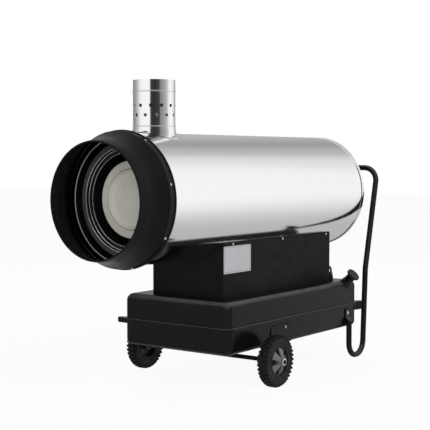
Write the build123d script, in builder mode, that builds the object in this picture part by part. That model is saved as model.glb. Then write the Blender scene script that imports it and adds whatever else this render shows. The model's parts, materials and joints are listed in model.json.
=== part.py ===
from build123d import *
import math
import os

os.makedirs("parts", exist_ok=True)

# Indirect diesel forced air heater on two wheels, in millimetres.
# The warm air outlet faces -Y, the handle is at +Y, +Z is up, and the ground is z = 0.
# Distances called reach are measured backwards from the front lip of the outlet cone.

# Clearances and shares that many pieces use
seat_gap = 0.3
running_gap = 0.05
overrun = 20.0
sheet = 2.0
half_share = 0.5

# Drum
drum_radius = 241.0
drum_start_reach = 118.0
drum_length = 1375.0
drum_hem_depth = 4.0
drum_hem_length = 3.0

# Outlet cone
mouth_radius = 211.5
lip_bead_radius = 3.5
neck_rise = 5.5
neck_length = 32.0
flare_length = 86.0
flare_sag = 5.0
skirt_rise = 5.0
skirt_length = 31.0
skirt_bead_radius = 4.5
cone_return_inset = 8.0
cone_screw_count = 8
cone_screw_first_angle = 14.0
cone_screw_inset = 21.0
screw_head_radius = 5.0
screw_head_height = 2.6
screw_shank_radius = 2.4

# Rings seen in the outlet, each measured inwards and backwards from the one around it
liner_gap = 11.0
liner_set_back = 29.0
liner_overhang = 40.0
jacket_gap = 36.0
jacket_set_back = 19.0
jacket_width = 23.0
jacket_overhang = 30.0
jacket_lip_width = 10.0
jacket_step_depth = 13.0
chamber_gap = 30.0
chamber_set_back = 32.0
chamber_wall = 3.0
chamber_dish_width = 33.3
chamber_dish_depth = 6.0
chamber_dish_slope = 7.0
crossover_radius = 35.0
crossover_inset = 80.0
bracket_shares = (0.30, 0.80)
bracket_width = 20.0
bracket_thickness = 4.0
bracket_turn = 45.0

# Chimney on the drum, its heights measured down from its top
chimney_radius = 78.0
chimney_wall = 1.5
chimney_inset = 212.0
chimney_height = 193.5
chimney_bead_radius = 2.5
chimney_upper_bead_drop = 41.5
chimney_lower_bead_drop = 169.0
vent_hole_radius = 6.5
vent_hole_count = 12
vent_upper_drop = 94.0
vent_row_gap = 35.0
flue_rise = 40.0
saddle_width = 22.0
saddle_collar_height = 14.0
saddle_screw_inset = 9.0

# Rear rim and intake guard
rim_cover_length = 14.0
rim_lip_width = 11.0
guard_wire_radius = 1.8
guard_ring_count = 8
guard_inset = 15.0
guard_inner_radius = 34.0
guard_spoke_count = 6
guard_first_angle = 17.0
guard_tab_width = 14.0
guard_tab_reach = 12.0

# Fan and motor, the fan measured forwards from the drum's rear end
fan_inset = 113.0
fan_hub_radius = 42.0
fan_hub_length = 46.0
fan_tip_gap = 17.0
fan_blade_count = 5
fan_root_chord = 62.0
fan_tip_chord = 96.0
fan_root_pitch = 52.0
fan_tip_pitch = 66.0
fan_blade_thickness = 3.0
motor_fan_gap = 35.0
motor_radius = 60.0
motor_length = 142.0
motor_fin_count = 12
motor_fin_height = 5.0
motor_fin_width = 3.0
shaft_radius = 7.0
motor_strap_length = 26.0
motor_strap_wall = 4.0
motor_arm_count = 4
motor_arm_thickness = 5.0

# Pump and burner, each in front of the one before
pump_motor_gap = 34.0
pump_length = 56.0
pump_side = 62.0
coupling_radius = 14.0
coupling_length = 20.0
pipe_radius = 3.0
scoop_pump_gap = 54.0
scoop_end_radius = 78.0
scoop_length = 36.0
burner_tube_radius = 50.0
burner_tube_length = 138.0
burner_insert = 68.0
diffuser_thickness = 3.0
diffuser_slot_count = 8
diffuser_slot_length = 18.0
diffuser_slot_width = 4.0
diffuser_inset = 22.0
nozzle_radius = 8.0
nozzle_length = 74.0
electrode_radius = 2.0
electrode_offset = 14.0

# Cabinet between the tank and the drum
cabinet_half_width = 171.4
cabinet_inset = 84.6
cabinet_length = 789.2
drum_tank_gap = 140.9
cradle_shares = (0.0778, 0.52, 0.9584)
cradle_thickness = 4.0
cradle_window_width = 120.0
cradle_window_height = 70.0
panel_screw_drop = 6.0
plate_width = 180.0
plate_height = 104.0
plate_thickness = 0.8
plate_inset = 1.0
plate_top_drop = 13.0
control_plate_length = 210.0
control_plate_height = 116.0
control_plate_margin = 20.0
control_plate_rise = 101.1
control_plate_inset = 188.8
control_depth = 30.0
switch_length = 30.0
switch_height = 22.0
switch_bezel = 4.0
switch_offset = 70.0
knob_radius = 19.0
knob_height = 16.0
knob_offset = 6.0
knob_grip_width = 8.0
knob_stem_radius = 4.0
button_radius = 7.0
button_height = 7.0
button_travel = 3.0
button_offset = 69.0
button_drop = 22.0
lamp_radius = 6.0
lamp_height = 5.0
gland_radius = 11.0
gland_length = 22.0
gland_bore_radius = 5.0
gland_inset = 61.4
box_length = 110.0
box_width = 72.0
box_foot_width = 10.0
transformer_height = 58.0
control_unit_height = 46.0
transformer_share = 0.216
control_unit_share = 0.609

# Fuel tank, two pressed shells
tank_half_width = 251.75
tank_start_reach = 445.0
tank_length = 976.0
tank_bottom_z = 138.0
tank_height = 200.6
tank_seam_rise = 91.0
tank_corner_radius = 30.0
tank_top_round = 28.0
tank_bottom_round = 20.0
upper_flange_height = 13.0
upper_flange_reach = 8.0
upper_flange_round = 5.0
lower_flange_height = 6.0
lower_flange_reach = 5.0
lower_flange_round = 2.5
lug_root_radius = 24.0
lug_tip_radius = 11.0
lug_lower_height = 24.0
lug_root_inset = 22.0
lug_round = 3.0
rear_lug_reach = 25.0
ear_reach = 26.3
ear_inset = 11.0
ear_lower_height = 8.0

# Filler on the rounded rear right edge of the tank
filler_inset = 86.0
filler_tilt = 45.0
neck_radius = 19.5
neck_wall = 2.0
neck_start = 14.0
neck_end = 74.0
boss_base_radius = 27.0
boss_top_radius = 22.0
boss_end = 40.0
cap_radius = 29.0
cap_height = 11.0
cap_round = 2.5
cap_plug_length = 12.0
cap_face_step = 1.2
cap_face_radius = 23.0
strainer_radius = 13.0
strainer_wall = 1.0
strainer_rim_height = 2.0
strainer_length = 70.0

# Fuel outlet on the tank top, hose to the cabinet
outlet_inset = 13.4
outlet_gap = 36.2
fitting_radius = 9.0
fitting_height = 20.0
banjo_radius = 8.0
banjo_height = 11.0
hose_radius = 4.5
hose_bend_share = 0.8
hose_rise = 56.4
bulkhead_radius = 8.0
bulkhead_length = 8.0
pickup_radius = 4.0
pickup_strainer_radius = 9.0
pickup_strainer_length = 30.0
pickup_clearance = 14.0
filter_offset = 48.0
filter_radius = 18.0
filter_length = 84.0
filter_inset = 128.8
filter_end_round = 4.0
grommet_radius = 12.0
grommet_lip = 3.0
drain_radius = 9.0
drain_head_radius = 12.0
drain_height = 8.0
drain_inset = 81.0

# Handle tube, measured from the tank's rear end
handle_tube_radius = 12.0
handle_tube_wall = 1.5
grip_gap = 158.5
grip_z = 826.0
handle_knee_gap = 52.5
handle_knee_z = 384.0
handle_heel_gap = 31.5
handle_toe_inset = 91.0
handle_end_z = 168.0
handle_foot_share = 0.479
handle_knee_radius = 120.0
handle_grip_radius = 65.0
handle_flat_width = 30.0
handle_flat_thickness = 4.0
handle_flat_length = 34.0
handle_flare_length = 18.0
handle_bolt_radius = 3.8
handle_bolt_head_radius = 6.5
handle_bolt_head_height = 4.0
handle_bolt_rise = 33.0

# Wheels and axle
wheel_radius = 100.0
wheel_gap = 49.25
axle_inset = 215.0
axle_radius = 8.5
tyre_width = 41.0
tyre_bore_radius = 55.0
tread_depth = 5.0
tread_count = 34
tread_block_length = 10.0
tyre_shoulder = 9.0
rim_width = 34.0
rim_wall = 3.0
rim_web = 8.0
rim_boss_radius = 22.0
star_count = 5
star_first_angle = 72.0
star_tip_radius = 51.0
star_half_width = 17.0
star_root_share = 0.1
star_shoulder_radius = 47.5
star_thickness = 6.0
star_recess = 6.0
star_boss_radius = 19.0
star_dish_rise = 15.0
star_boss_rise = 3.0
washer_radius = 14.0
washer_thickness = 2.5
nut_radius = 11.0
nut_height = 8.0
axle_bracket_thickness = 4.0
axle_bracket_front = 69.0
axle_bracket_back = 220.0
axle_bracket_drop = 13.0
axle_bracket_rise = 8.0
axle_bracket_round = 34.0
axle_bracket_boss = 24.0
axle_bracket_screw_back = 172.0
axle_bracket_screw_drop = 26.0
spacer_radius = 12.0

# Distances behind the front lip, worked out from the sizes above
skirt_radius = drum_radius + skirt_rise
flare_end_reach = neck_length + flare_length
skirt_end_reach = flare_end_reach + skirt_length
cone_screw_reach = skirt_end_reach - cone_screw_inset
cone_return_reach = skirt_end_reach - cone_return_inset
drum_end_reach = drum_start_reach + drum_length
fan_reach = drum_end_reach - fan_inset
motor_end_reach = fan_reach - fan_hub_length / 2 - motor_fan_gap
motor_start_reach = motor_end_reach - motor_length
pump_end_reach = motor_start_reach - pump_motor_gap
pump_start_reach = pump_end_reach - pump_length
burner_tube_end_reach = pump_start_reach - scoop_pump_gap - scoop_length
burner_tube_start_reach = burner_tube_end_reach - burner_tube_length
chamber_end_reach = burner_tube_start_reach + burner_insert
jacket_end_reach = chamber_end_reach + jacket_overhang
liner_end_reach = jacket_end_reach + liner_overhang
liner_start_reach = drum_start_reach + liner_set_back
jacket_start_reach = liner_start_reach + jacket_set_back
chamber_start_reach = jacket_start_reach + chamber_set_back
crossover_reach = chamber_end_reach - crossover_inset
chimney_reach = drum_start_reach + chimney_inset
tank_end_reach = tank_start_reach + tank_length
cabinet_start_reach = tank_start_reach + cabinet_inset
cabinet_end_reach = cabinet_start_reach + cabinet_length
outlet_reach = cabinet_end_reach + outlet_gap
filter_end_reach = cabinet_end_reach - filter_inset
filler_reach = tank_end_reach - filler_inset
drain_reach = tank_end_reach - drain_inset
axle_reach = tank_start_reach + axle_inset
grip_reach = tank_end_reach + grip_gap
overall_length = grip_reach + handle_tube_radius
lip_y = -overall_length / 2

# Radii and heights, worked out from the sizes above
liner_radius = drum_radius - liner_gap
jacket_outer_radius = liner_radius - jacket_gap
jacket_inner_radius = jacket_outer_radius - jacket_width
chamber_radius = jacket_inner_radius - chamber_gap
chamber_dish_radius = chamber_radius - chamber_dish_width
fan_tip_radius = drum_radius - fan_tip_gap
guard_outer_radius = drum_radius - guard_inset
saddle_radius = chimney_radius + saddle_width
saddle_screw_reach = saddle_radius - saddle_screw_inset
tank_top_z = tank_bottom_z + tank_height
tank_seam_z = tank_bottom_z + tank_seam_rise
drum_axis_z = tank_top_z + drum_tank_gap + drum_radius
chimney_top_z = drum_axis_z + drum_radius + chimney_height
chimney_upper_bead_z = chimney_top_z - chimney_upper_bead_drop
chimney_lower_bead_z = chimney_top_z - chimney_lower_bead_drop
vent_upper_z = chimney_top_z - vent_upper_drop
vent_lower_z = vent_upper_z - vent_row_gap
tyre_inner_x = tank_half_width + wheel_gap
wheel_outer_x = tyre_inner_x + tyre_width
web_face_x = wheel_outer_x - star_recess - star_thickness
hub_face_x = web_face_x + star_thickness + star_dish_rise + star_boss_rise
outlet_x = cabinet_half_width - outlet_inset
filter_x = outlet_x - filter_offset
gland_x = gland_inset - cabinet_half_width
handle_foot_radius = (handle_heel_gap + handle_toe_inset) * handle_foot_share


# Places worked out from the sizes above
def back(reach):
    """The y of a place this far behind the front lip."""
    return lip_y + reach


def across(y):
    """A sketch plane square to the drum's axis, seen from the front, x right and z up."""
    return Plane.XZ.offset(-y)


def aside(x):
    """A sketch plane facing +X, with y to the right and z up."""
    return Plane.YZ.offset(x)


def around_drum(angle, y, radius, pitch=0):
    """A plane touching a cylinder about the drum's axis; the angle is from +X, turning to +Z."""
    turn = math.radians(angle)
    lean = math.radians(pitch)
    outward = Vector(math.cos(turn), 0, math.sin(turn))
    along = Vector(-math.sin(turn), 0, math.cos(turn)) * math.sin(lean) + Vector(0, math.cos(lean), 0)
    return Plane(origin=Vector(0, y, drum_axis_z) + outward * radius, x_dir=along, z_dir=outward)


drum_axis = Axis((0, 0, drum_axis_z), (0, 1, 0))
drum_plane = Plane.XY.offset(drum_axis_z)
chimney_y = back(chimney_reach)
axle_y = back(axle_reach)
axle_z = wheel_radius
handle_x = tank_half_width + seat_gap + handle_tube_radius
toe_y = back(tank_end_reach) - handle_toe_inset
heel_y = back(tank_end_reach) + handle_heel_gap
knee_y = back(tank_end_reach) + handle_knee_gap
cabinet_base_z = tank_top_z + seat_gap
cabinet_inner_half = cabinet_half_width - sheet
panel_top_z = drum_axis_z - math.sqrt((drum_radius + seat_gap) ** 2 - cabinet_inner_half ** 2)
panel_screw_z = panel_top_z - panel_screw_drop
cabinet_start_y = back(cabinet_start_reach)
cabinet_end_y = back(cabinet_end_reach)
cabinet_mid_y = (cabinet_start_y + cabinet_end_y) / 2
hose_z = cabinet_base_z + hose_rise - seat_gap
control_plate_z = cabinet_base_z + control_plate_rise
cradle_reaches = [cabinet_start_reach + cabinet_length * share for share in cradle_shares]
transformer_reach = cabinet_start_reach + cabinet_length * transformer_share
control_unit_reach = cabinet_start_reach + cabinet_length * control_unit_share
tank_start_y = back(tank_start_reach)
tank_end_y = back(tank_end_reach)
tank_mid_y = (tank_start_y + tank_end_y) / 2
pipe_y = (back(pump_start_reach) + back(pump_end_reach)) / 2
wheel_mid_x = wheel_outer_x - tyre_width / 2


# Shapes that several pieces share
def band(radius_from, radius_to, y_from, y_to):
    """One straight stretch of a turned profile, radius across and y along."""
    with Locations(((radius_from + radius_to) / 2, (y_from + y_to) / 2)):
        Rectangle(radius_to - radius_from, y_to - y_from)


def ring_face(plane, outer, inner, centre=(0, 0)):
    with BuildSketch(plane) as face:
        with Locations(centre):
            Circle(outer)
            Circle(inner, mode=Mode.SUBTRACT)
    return face.sketch


def disc_face(plane, radius, centre=(0, 0)):
    with BuildSketch(plane) as face:
        with Locations(centre):
            Circle(radius)
    return face.sketch


def box_face(plane, width, height, centre=(0, 0), corner=0):
    with BuildSketch(plane) as face:
        with Locations(centre):
            if corner > 0:
                RectangleRounded(width, height, corner)
            else:
                Rectangle(width, height)
    return face.sketch


def hull_face(plane, first, first_radius, last, last_radius):
    """A tapering tongue between two circles."""
    with BuildSketch(plane) as face:
        with Locations(first):
            Circle(first_radius)
        with Locations(last):
            Circle(last_radius)
        make_hull()
    return face.sketch


def save(piece, name):
    piece.part.label = name
    export_step(piece.part, "parts/" + name + ".step")


# Outlet cone: rolled lip, neck, hollow flare, skirt over the drum, and a return that seats on it
with BuildPart() as outlet_cone:
    lip_back_y = back(lip_bead_radius)
    neck_radius_back = mouth_radius + neck_rise
    neck_end_y = back(neck_length)
    flare_end_y = back(flare_end_reach)
    flare_mid = ((neck_radius_back + skirt_radius) / 2 - flare_sag, (neck_end_y + flare_end_y) / 2)
    skirt_end_y = back(skirt_end_reach)
    return_y = back(cone_return_reach)
    with BuildSketch(drum_plane):
        with BuildLine():
            outside = [
                Line((mouth_radius, lip_back_y), (neck_radius_back, neck_end_y)),
                ThreePointArc((neck_radius_back, neck_end_y), flare_mid, (skirt_radius, flare_end_y)),
                Line((skirt_radius, flare_end_y), (skirt_radius, skirt_end_y)),
            ]
            for edge in outside:
                add(edge.moved(Location((-sheet, 0))))
            Line((mouth_radius, lip_back_y), (mouth_radius - sheet, lip_back_y))
            Line((skirt_radius, skirt_end_y), (skirt_radius - sheet, skirt_end_y))
        make_face()
        with Locations((mouth_radius - lip_bead_radius, lip_back_y)):
            Circle(lip_bead_radius)
        with Locations((skirt_radius, skirt_end_y - skirt_bead_radius)):
            Circle(skirt_bead_radius)
        band(drum_radius + seat_gap, skirt_radius - sheet / 2, return_y - sheet / 2, return_y + sheet / 2)
    revolve(axis=drum_axis)
    for index in range(cone_screw_count):
        angle = cone_screw_first_angle + index * 360 / cone_screw_count
        bore = disc_face(around_drum(angle, back(cone_screw_reach), skirt_radius - sheet * 2),
                         screw_shank_radius + seat_gap)
        extrude(bore, amount=sheet * 3, mode=Mode.SUBTRACT)
save(outlet_cone, "outlet_cone")

# Drum: one rolled sheet, hemmed inwards at both ends, open above for the flue and below for pipes
with BuildPart() as drum_shell:
    drum_start_y = back(drum_start_reach)
    drum_end_y = back(drum_end_reach)
    with BuildSketch(drum_plane):
        band(drum_radius - sheet, drum_radius, drum_start_y, drum_end_y)
        band(drum_radius - drum_hem_depth, drum_radius, drum_start_y, drum_start_y + drum_hem_length)
        band(drum_radius - drum_hem_depth, drum_radius, drum_end_y - drum_hem_length, drum_end_y)
    revolve(axis=drum_axis)
    flue_radius = chimney_radius - chimney_wall - seat_gap
    flue_cut = disc_face(drum_plane, flue_radius + seat_gap, (0, chimney_y))
    extrude(flue_cut, amount=drum_radius + overrun, mode=Mode.SUBTRACT)
    port_cut = disc_face(drum_plane, grommet_radius - grommet_lip, (0, pipe_y))
    extrude(port_cut, amount=-drum_radius - overrun, mode=Mode.SUBTRACT)
save(drum_shell, "drum_shell")

# Liner between the drum and the heat exchanger
with BuildPart() as drum_liner:
    with BuildSketch(drum_plane):
        band(liner_radius - sheet, liner_radius, back(liner_start_reach), back(liner_end_reach))
        band(liner_radius - sheet * 2, liner_radius, back(liner_start_reach),
             back(liner_start_reach) + sheet)
    revolve(axis=drum_axis)
    extrude(flue_cut, amount=drum_radius + overrun, mode=Mode.SUBTRACT)
save(drum_liner, "drum_liner")

# Heat exchanger: a closed ring-shaped jacket with a stepped front
with BuildPart() as exchanger_jacket:
    jacket_start_y = back(jacket_start_reach)
    jacket_end_y = back(jacket_end_reach)
    step_radius = jacket_outer_radius - jacket_lip_width
    step_y = jacket_start_y + jacket_step_depth
    with BuildSketch(drum_plane):
        band(jacket_outer_radius - sheet, jacket_outer_radius, jacket_start_y, jacket_end_y)
        band(step_radius - sheet, jacket_outer_radius, jacket_start_y, jacket_start_y + sheet)
        band(step_radius - sheet, step_radius, jacket_start_y, step_y)
        band(jacket_inner_radius, step_radius, step_y - sheet, step_y)
        band(jacket_inner_radius, jacket_inner_radius + sheet, step_y - sheet, jacket_end_y)
        band(jacket_inner_radius, jacket_outer_radius, jacket_end_y - sheet, jacket_end_y)
    revolve(axis=drum_axis)
    flue_bore = disc_face(drum_plane, flue_radius - chimney_wall, (0, chimney_y))
    extrude(Plane.XY.offset(jacket_inner_radius + sheet * 2) * flue_bore,
            amount=jacket_outer_radius, mode=Mode.SUBTRACT)
    for side in (-1, 1):
        duct_bore = disc_face(aside(side * (chamber_radius - overrun)),
                              crossover_radius - sheet, (back(crossover_reach), drum_axis_z))
        extrude(duct_bore, amount=side * (jacket_inner_radius + sheet * 2 - chamber_radius + overrun),
                mode=Mode.SUBTRACT)
save(exchanger_jacket, "exchanger_jacket")

# Combustion chamber: a tube closed at the back round the burner, and its dished front plate
with BuildPart() as combustion_chamber:
    chamber_start_y = back(chamber_start_reach)
    chamber_end_y = back(chamber_end_reach)
    with BuildSketch(drum_plane):
        band(chamber_radius - chamber_wall, chamber_radius, chamber_start_y + chamber_wall, chamber_end_y)
        band(burner_tube_radius + seat_gap, chamber_radius, chamber_end_y - chamber_wall, chamber_end_y)
    revolve(axis=drum_axis)
    for side in (-1, 1):
        duct_bore = disc_face(aside(side * (chamber_radius - overrun)),
                              crossover_radius - sheet, (back(crossover_reach), drum_axis_z))
        extrude(duct_bore, amount=side * overrun * 2, mode=Mode.SUBTRACT)
save(combustion_chamber, "combustion_chamber")

with BuildPart() as chamber_front_plate:
    dish_y = chamber_start_y + chamber_dish_depth
    dish_floor_radius = chamber_dish_radius - chamber_dish_slope
    with BuildSketch(drum_plane):
        with BuildLine():
            Polyline(
                (0, dish_y),
                (dish_floor_radius, dish_y),
                (chamber_dish_radius, chamber_start_y),
                (chamber_radius, chamber_start_y),
                (chamber_radius, chamber_start_y + chamber_wall),
                (chamber_dish_radius, chamber_start_y + chamber_wall),
                (dish_floor_radius, dish_y + chamber_wall),
                (0, dish_y + chamber_wall),
                close=True,
            )
        make_face()
    revolve(axis=drum_axis)
save(chamber_front_plate, "chamber_front_plate")

# Two short ducts carry the gas from the chamber into the jacket
with BuildPart() as crossover_ducts:
    for side in (-1, 1):
        duct = ring_face(aside(side * (chamber_radius - overrun)), crossover_radius,
                         crossover_radius - sheet, (back(crossover_reach), drum_axis_z))
        extrude(duct, amount=side * (jacket_inner_radius - chamber_radius + overrun * 2))
    duct_core = disc_face(across(back(crossover_reach) - crossover_radius * 2), chamber_radius + seat_gap,
                          (0, drum_axis_z))
    extrude(duct_core, amount=-crossover_radius * 4, mode=Mode.SUBTRACT)
    duct_shell = disc_face(across(back(crossover_reach) - crossover_radius * 2),
                           jacket_inner_radius - seat_gap, (0, drum_axis_z))
    extrude(duct_shell, amount=-crossover_radius * 4, mode=Mode.INTERSECT)
save(crossover_ducts, "crossover_ducts")

# Small flat brackets hold the chamber, the jacket and the liner, four round the drum at two places
with BuildPart() as spacer_brackets:
    for inner, outer in ((chamber_radius, jacket_inner_radius), (jacket_outer_radius, liner_radius - sheet),
                         (liner_radius, drum_radius - sheet)):
        for share in bracket_shares:
            reach = chamber_start_reach + (chamber_end_reach - chamber_start_reach) * share
            for index in range(4):
                plane = around_drum(bracket_turn + index * 90, back(reach), inner + seat_gap)
                extrude(box_face(plane, bracket_width, bracket_thickness),
                        amount=outer - inner - seat_gap * 2)
save(spacer_brackets, "spacer_brackets")

# Flue stub from the jacket up through the drum, and the chimney over it
with BuildPart() as flue_stub:
    stub = ring_face(drum_plane, flue_radius, flue_radius - chimney_wall, (0, chimney_y))
    extrude(stub, amount=drum_radius + flue_rise)
    stub_core = disc_face(across(chimney_y - chimney_radius - overrun), jacket_outer_radius + seat_gap,
                          (0, drum_axis_z))
    extrude(stub_core, amount=-(chimney_radius + overrun) * 2, mode=Mode.SUBTRACT)
save(flue_stub, "flue_stub")

with BuildPart() as chimney:
    with BuildSketch(Plane.XZ.offset(-chimney_y)):
        with Locations((chimney_radius - chimney_wall / 2, (drum_axis_z + chimney_top_z) / 2)):
            Rectangle(chimney_wall, chimney_top_z - drum_axis_z)
        for bead_z in (chimney_upper_bead_z, chimney_lower_bead_z):
            with Locations((chimney_radius, bead_z)):
                Circle(chimney_bead_radius)
        with Locations((chimney_radius - chimney_wall * 2, (drum_axis_z + chimney_top_z) / 2)):
            Rectangle(chimney_wall * 2, chimney_top_z - drum_axis_z, mode=Mode.SUBTRACT)
    revolve(axis=Axis((0, chimney_y, 0), (0, 0, 1)))
    chimney_seat = disc_face(across(chimney_y - chimney_radius - overrun), drum_radius + seat_gap,
                             (0, drum_axis_z))
    extrude(chimney_seat, amount=-(chimney_radius + overrun) * 2, mode=Mode.SUBTRACT)
    vent_step = 360 / vent_hole_count
    for row_z, first_turn in ((vent_upper_z, 0), (vent_lower_z, vent_step / 2)):
        for index in range(vent_hole_count // 2):
            turn = first_turn + index * vent_step
            vent_plane = Plane(origin=(0, chimney_y, row_z),
                               z_dir=(math.cos(math.radians(turn)), math.sin(math.radians(turn)), 0))
            extrude(disc_face(vent_plane, vent_hole_radius), amount=chimney_radius + overrun,
                    both=True, mode=Mode.SUBTRACT)
save(chimney, "chimney")

# Saddle flange that seals the chimney to the drum
with BuildPart() as chimney_saddle:
    saddle_collar = ring_face(drum_plane, saddle_radius, chimney_radius + seat_gap, (0, chimney_y))
    extrude(saddle_collar, amount=drum_radius + saddle_collar_height)
    saddle_core = disc_face(across(chimney_y - saddle_radius - overrun), drum_radius + seat_gap,
                            (0, drum_axis_z))
    extrude(saddle_core, amount=-(saddle_radius + overrun) * 2, mode=Mode.SUBTRACT)
    saddle_trim = ring_face(drum_plane, saddle_radius + overrun, chimney_radius + seat_gap + sheet,
                            (0, chimney_y))
    saddle_face_radius = drum_radius + seat_gap + sheet
    with BuildPart(mode=Mode.PRIVATE) as above_saddle:
        extrude(saddle_trim, amount=drum_radius + saddle_collar_height + overrun)
        saddle_top = disc_face(across(chimney_y - saddle_radius - overrun * 2), saddle_face_radius,
                               (0, drum_axis_z))
        extrude(saddle_top, amount=-(saddle_radius + overrun * 2) * 2, mode=Mode.SUBTRACT)
    add(above_saddle.part, mode=Mode.SUBTRACT)
save(chimney_saddle, "chimney_saddle")

# Rear rim over the drum's edge, and the wire guard on it
with BuildPart() as rear_rim:
    rim_y = drum_end_y + seat_gap
    rim_outer = drum_radius + seat_gap + sheet
    with BuildSketch(drum_plane):
        band(drum_radius + seat_gap, rim_outer, rim_y - rim_cover_length, rim_y + sheet)
        band(drum_radius - rim_lip_width, rim_outer, rim_y, rim_y + sheet)
    revolve(axis=drum_axis)
save(rear_rim, "rear_rim")

guard_y = rim_y + sheet + seat_gap + guard_wire_radius
with BuildPart() as intake_guard:
    with BuildSketch(drum_plane):
        ring_step = (guard_outer_radius - guard_inner_radius) / (guard_ring_count - 1)
        for index in range(guard_ring_count):
            with Locations((guard_inner_radius + index * ring_step, guard_y)):
                Circle(guard_wire_radius)
    revolve(axis=drum_axis)
    for index in range(guard_spoke_count):
        angle = guard_first_angle + index * 360 / guard_spoke_count
        spoke_plane = around_drum(angle, guard_y + guard_wire_radius * half_share, 0)
        spoke = box_face(spoke_plane, guard_wire_radius * 2, guard_wire_radius * 2)
        extrude(spoke, amount=guard_outer_radius)
        tab = box_face(around_drum(angle, guard_y, guard_outer_radius), guard_wire_radius * 2,
                       guard_tab_width)
        extrude(tab, amount=guard_tab_reach)
save(intake_guard, "intake_guard")

# Fan: hub with five twisted blades, on the motor's shaft
with BuildPart() as fan_impeller:
    fan_y = back(fan_reach)
    hub_start_y = fan_y - fan_hub_length / 2
    extrude(disc_face(across(hub_start_y), fan_hub_radius, (0, drum_axis_z)), amount=-fan_hub_length)
    for index in range(fan_blade_count):
        angle = index * 360 / fan_blade_count
        root = around_drum(angle, fan_y, fan_hub_radius - sheet * 2, fan_root_pitch)
        tip = around_drum(angle, fan_y, fan_tip_radius, fan_tip_pitch)
        blade_root = box_face(root, fan_root_chord, fan_blade_thickness)
        blade_tip = box_face(tip, fan_tip_chord, fan_blade_thickness)
        loft(sections=[blade_root, blade_tip], ruled=True)
    shaft_hole = disc_face(across(hub_start_y), shaft_radius + running_gap, (0, drum_axis_z))
    extrude(shaft_hole, amount=-fan_hub_length, mode=Mode.SUBTRACT)
save(fan_impeller, "fan_impeller")

motor_start_y = back(motor_start_reach)
shaft_end_y = fan_y + fan_hub_length / 2 + sheet
with BuildPart() as fan_motor:
    extrude(disc_face(across(motor_start_y), motor_radius, (0, drum_axis_z)), amount=-motor_length)
    fin_length = motor_length / 2
    for index in range(motor_fin_count):
        angle = index * 360 / motor_fin_count
        fin_y = motor_start_y + motor_length - fin_length / 2 - motor_fin_height
        fin = box_face(around_drum(angle, fin_y, motor_radius - sheet), fin_length, motor_fin_width)
        extrude(fin, amount=motor_fin_height + sheet)
    shaft_seat = disc_face(across(motor_start_y), shaft_radius + running_gap, (0, drum_axis_z))
    extrude(shaft_seat, amount=-motor_length, mode=Mode.SUBTRACT)
save(fan_motor, "fan_motor")

# Strap round the motor with four arms to the drum
with BuildPart() as motor_bracket:
    strap_start_y = motor_start_y + motor_fin_height
    strap_outer = motor_radius + seat_gap + motor_strap_wall
    strap = ring_face(across(strap_start_y), strap_outer, motor_radius + seat_gap, (0, drum_axis_z))
    extrude(strap, amount=-motor_strap_length)
    for index in range(motor_arm_count):
        angle = bracket_turn + index * 360 / motor_arm_count
        arm = box_face(around_drum(angle, strap_start_y + motor_strap_length / 2, strap_outer - sheet),
                       motor_strap_length, motor_arm_thickness)
        extrude(arm, amount=drum_radius - sheet - seat_gap - strap_outer + sheet)
save(motor_bracket, "motor_bracket")

# Pump on the front of the motor, turned by the same shaft through a coupling
pump_start_y = back(pump_start_reach)
pump_end_y = back(pump_end_reach)
with BuildPart() as fuel_pump:
    extrude(box_face(across(pump_start_y), pump_side, pump_side, (0, drum_axis_z), sheet * 3),
            amount=-pump_length)
    for side in (-1, 1):
        foot = box_face(across(pump_end_y), motor_fin_height, pump_side / 2,
                        (side * (pump_side / 2 - motor_fin_height), drum_axis_z))
        extrude(foot, amount=-(motor_start_y - pump_end_y - seat_gap))
    pump_seat = disc_face(across(pump_end_y), shaft_radius + running_gap, (0, drum_axis_z))
    extrude(pump_seat, amount=coupling_length, mode=Mode.SUBTRACT)
    nozzle_port = disc_face(across(pump_start_y), pipe_radius, (0, drum_axis_z))
    extrude(nozzle_port, amount=-coupling_length / 2, mode=Mode.SUBTRACT)
save(fuel_pump, "fuel_pump")

# One shaft through the motor turns the fan behind it and, through a coupling, the pump before it
with BuildPart() as drive_shaft:
    coupling_mid_y = (pump_end_y + motor_start_y) / 2
    extrude(disc_face(across(coupling_mid_y - coupling_length / 2), coupling_radius, (0, drum_axis_z)),
            amount=-coupling_length)
    drive_start_y = pump_end_y - coupling_length / 2
    extrude(disc_face(across(drive_start_y), shaft_radius, (0, drum_axis_z)),
            amount=drive_start_y - shaft_end_y)
save(drive_shaft, "drive_shaft")

# Burner: blast tube with its air scoop, through the chamber's back plate, then diffuser and nozzle
burner_start_y = back(burner_tube_start_reach)
burner_end_y = back(burner_tube_end_reach)
with BuildPart() as burner_tube:
    tube_inner = burner_tube_radius - sheet
    scoop_y = burner_end_y + scoop_length
    with BuildSketch(drum_plane):
        band(tube_inner, burner_tube_radius, burner_start_y, burner_end_y)
        with BuildLine():
            Polyline(
                (tube_inner, burner_end_y),
                (burner_tube_radius, burner_end_y),
                (scoop_end_radius, scoop_y),
                (scoop_end_radius - sheet, scoop_y),
                close=True,
            )
        make_face()
    revolve(axis=drum_axis)
save(burner_tube, "burner_tube")

diffuser_y = burner_start_y + diffuser_inset
nozzle_tip_y = diffuser_y - diffuser_thickness * 2
with BuildPart() as flame_diffuser:
    diffuser_radius = burner_tube_radius - sheet - seat_gap
    with BuildSketch(across(diffuser_y)):
        with Locations((0, drum_axis_z)):
            Circle(diffuser_radius)
            Circle(nozzle_radius + seat_gap, mode=Mode.SUBTRACT)
            with PolarLocations((diffuser_radius + nozzle_radius) / 2, diffuser_slot_count):
                Rectangle(diffuser_slot_length, diffuser_slot_width, mode=Mode.SUBTRACT)
    extrude(amount=-diffuser_thickness)
save(flame_diffuser, "flame_diffuser")

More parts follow.
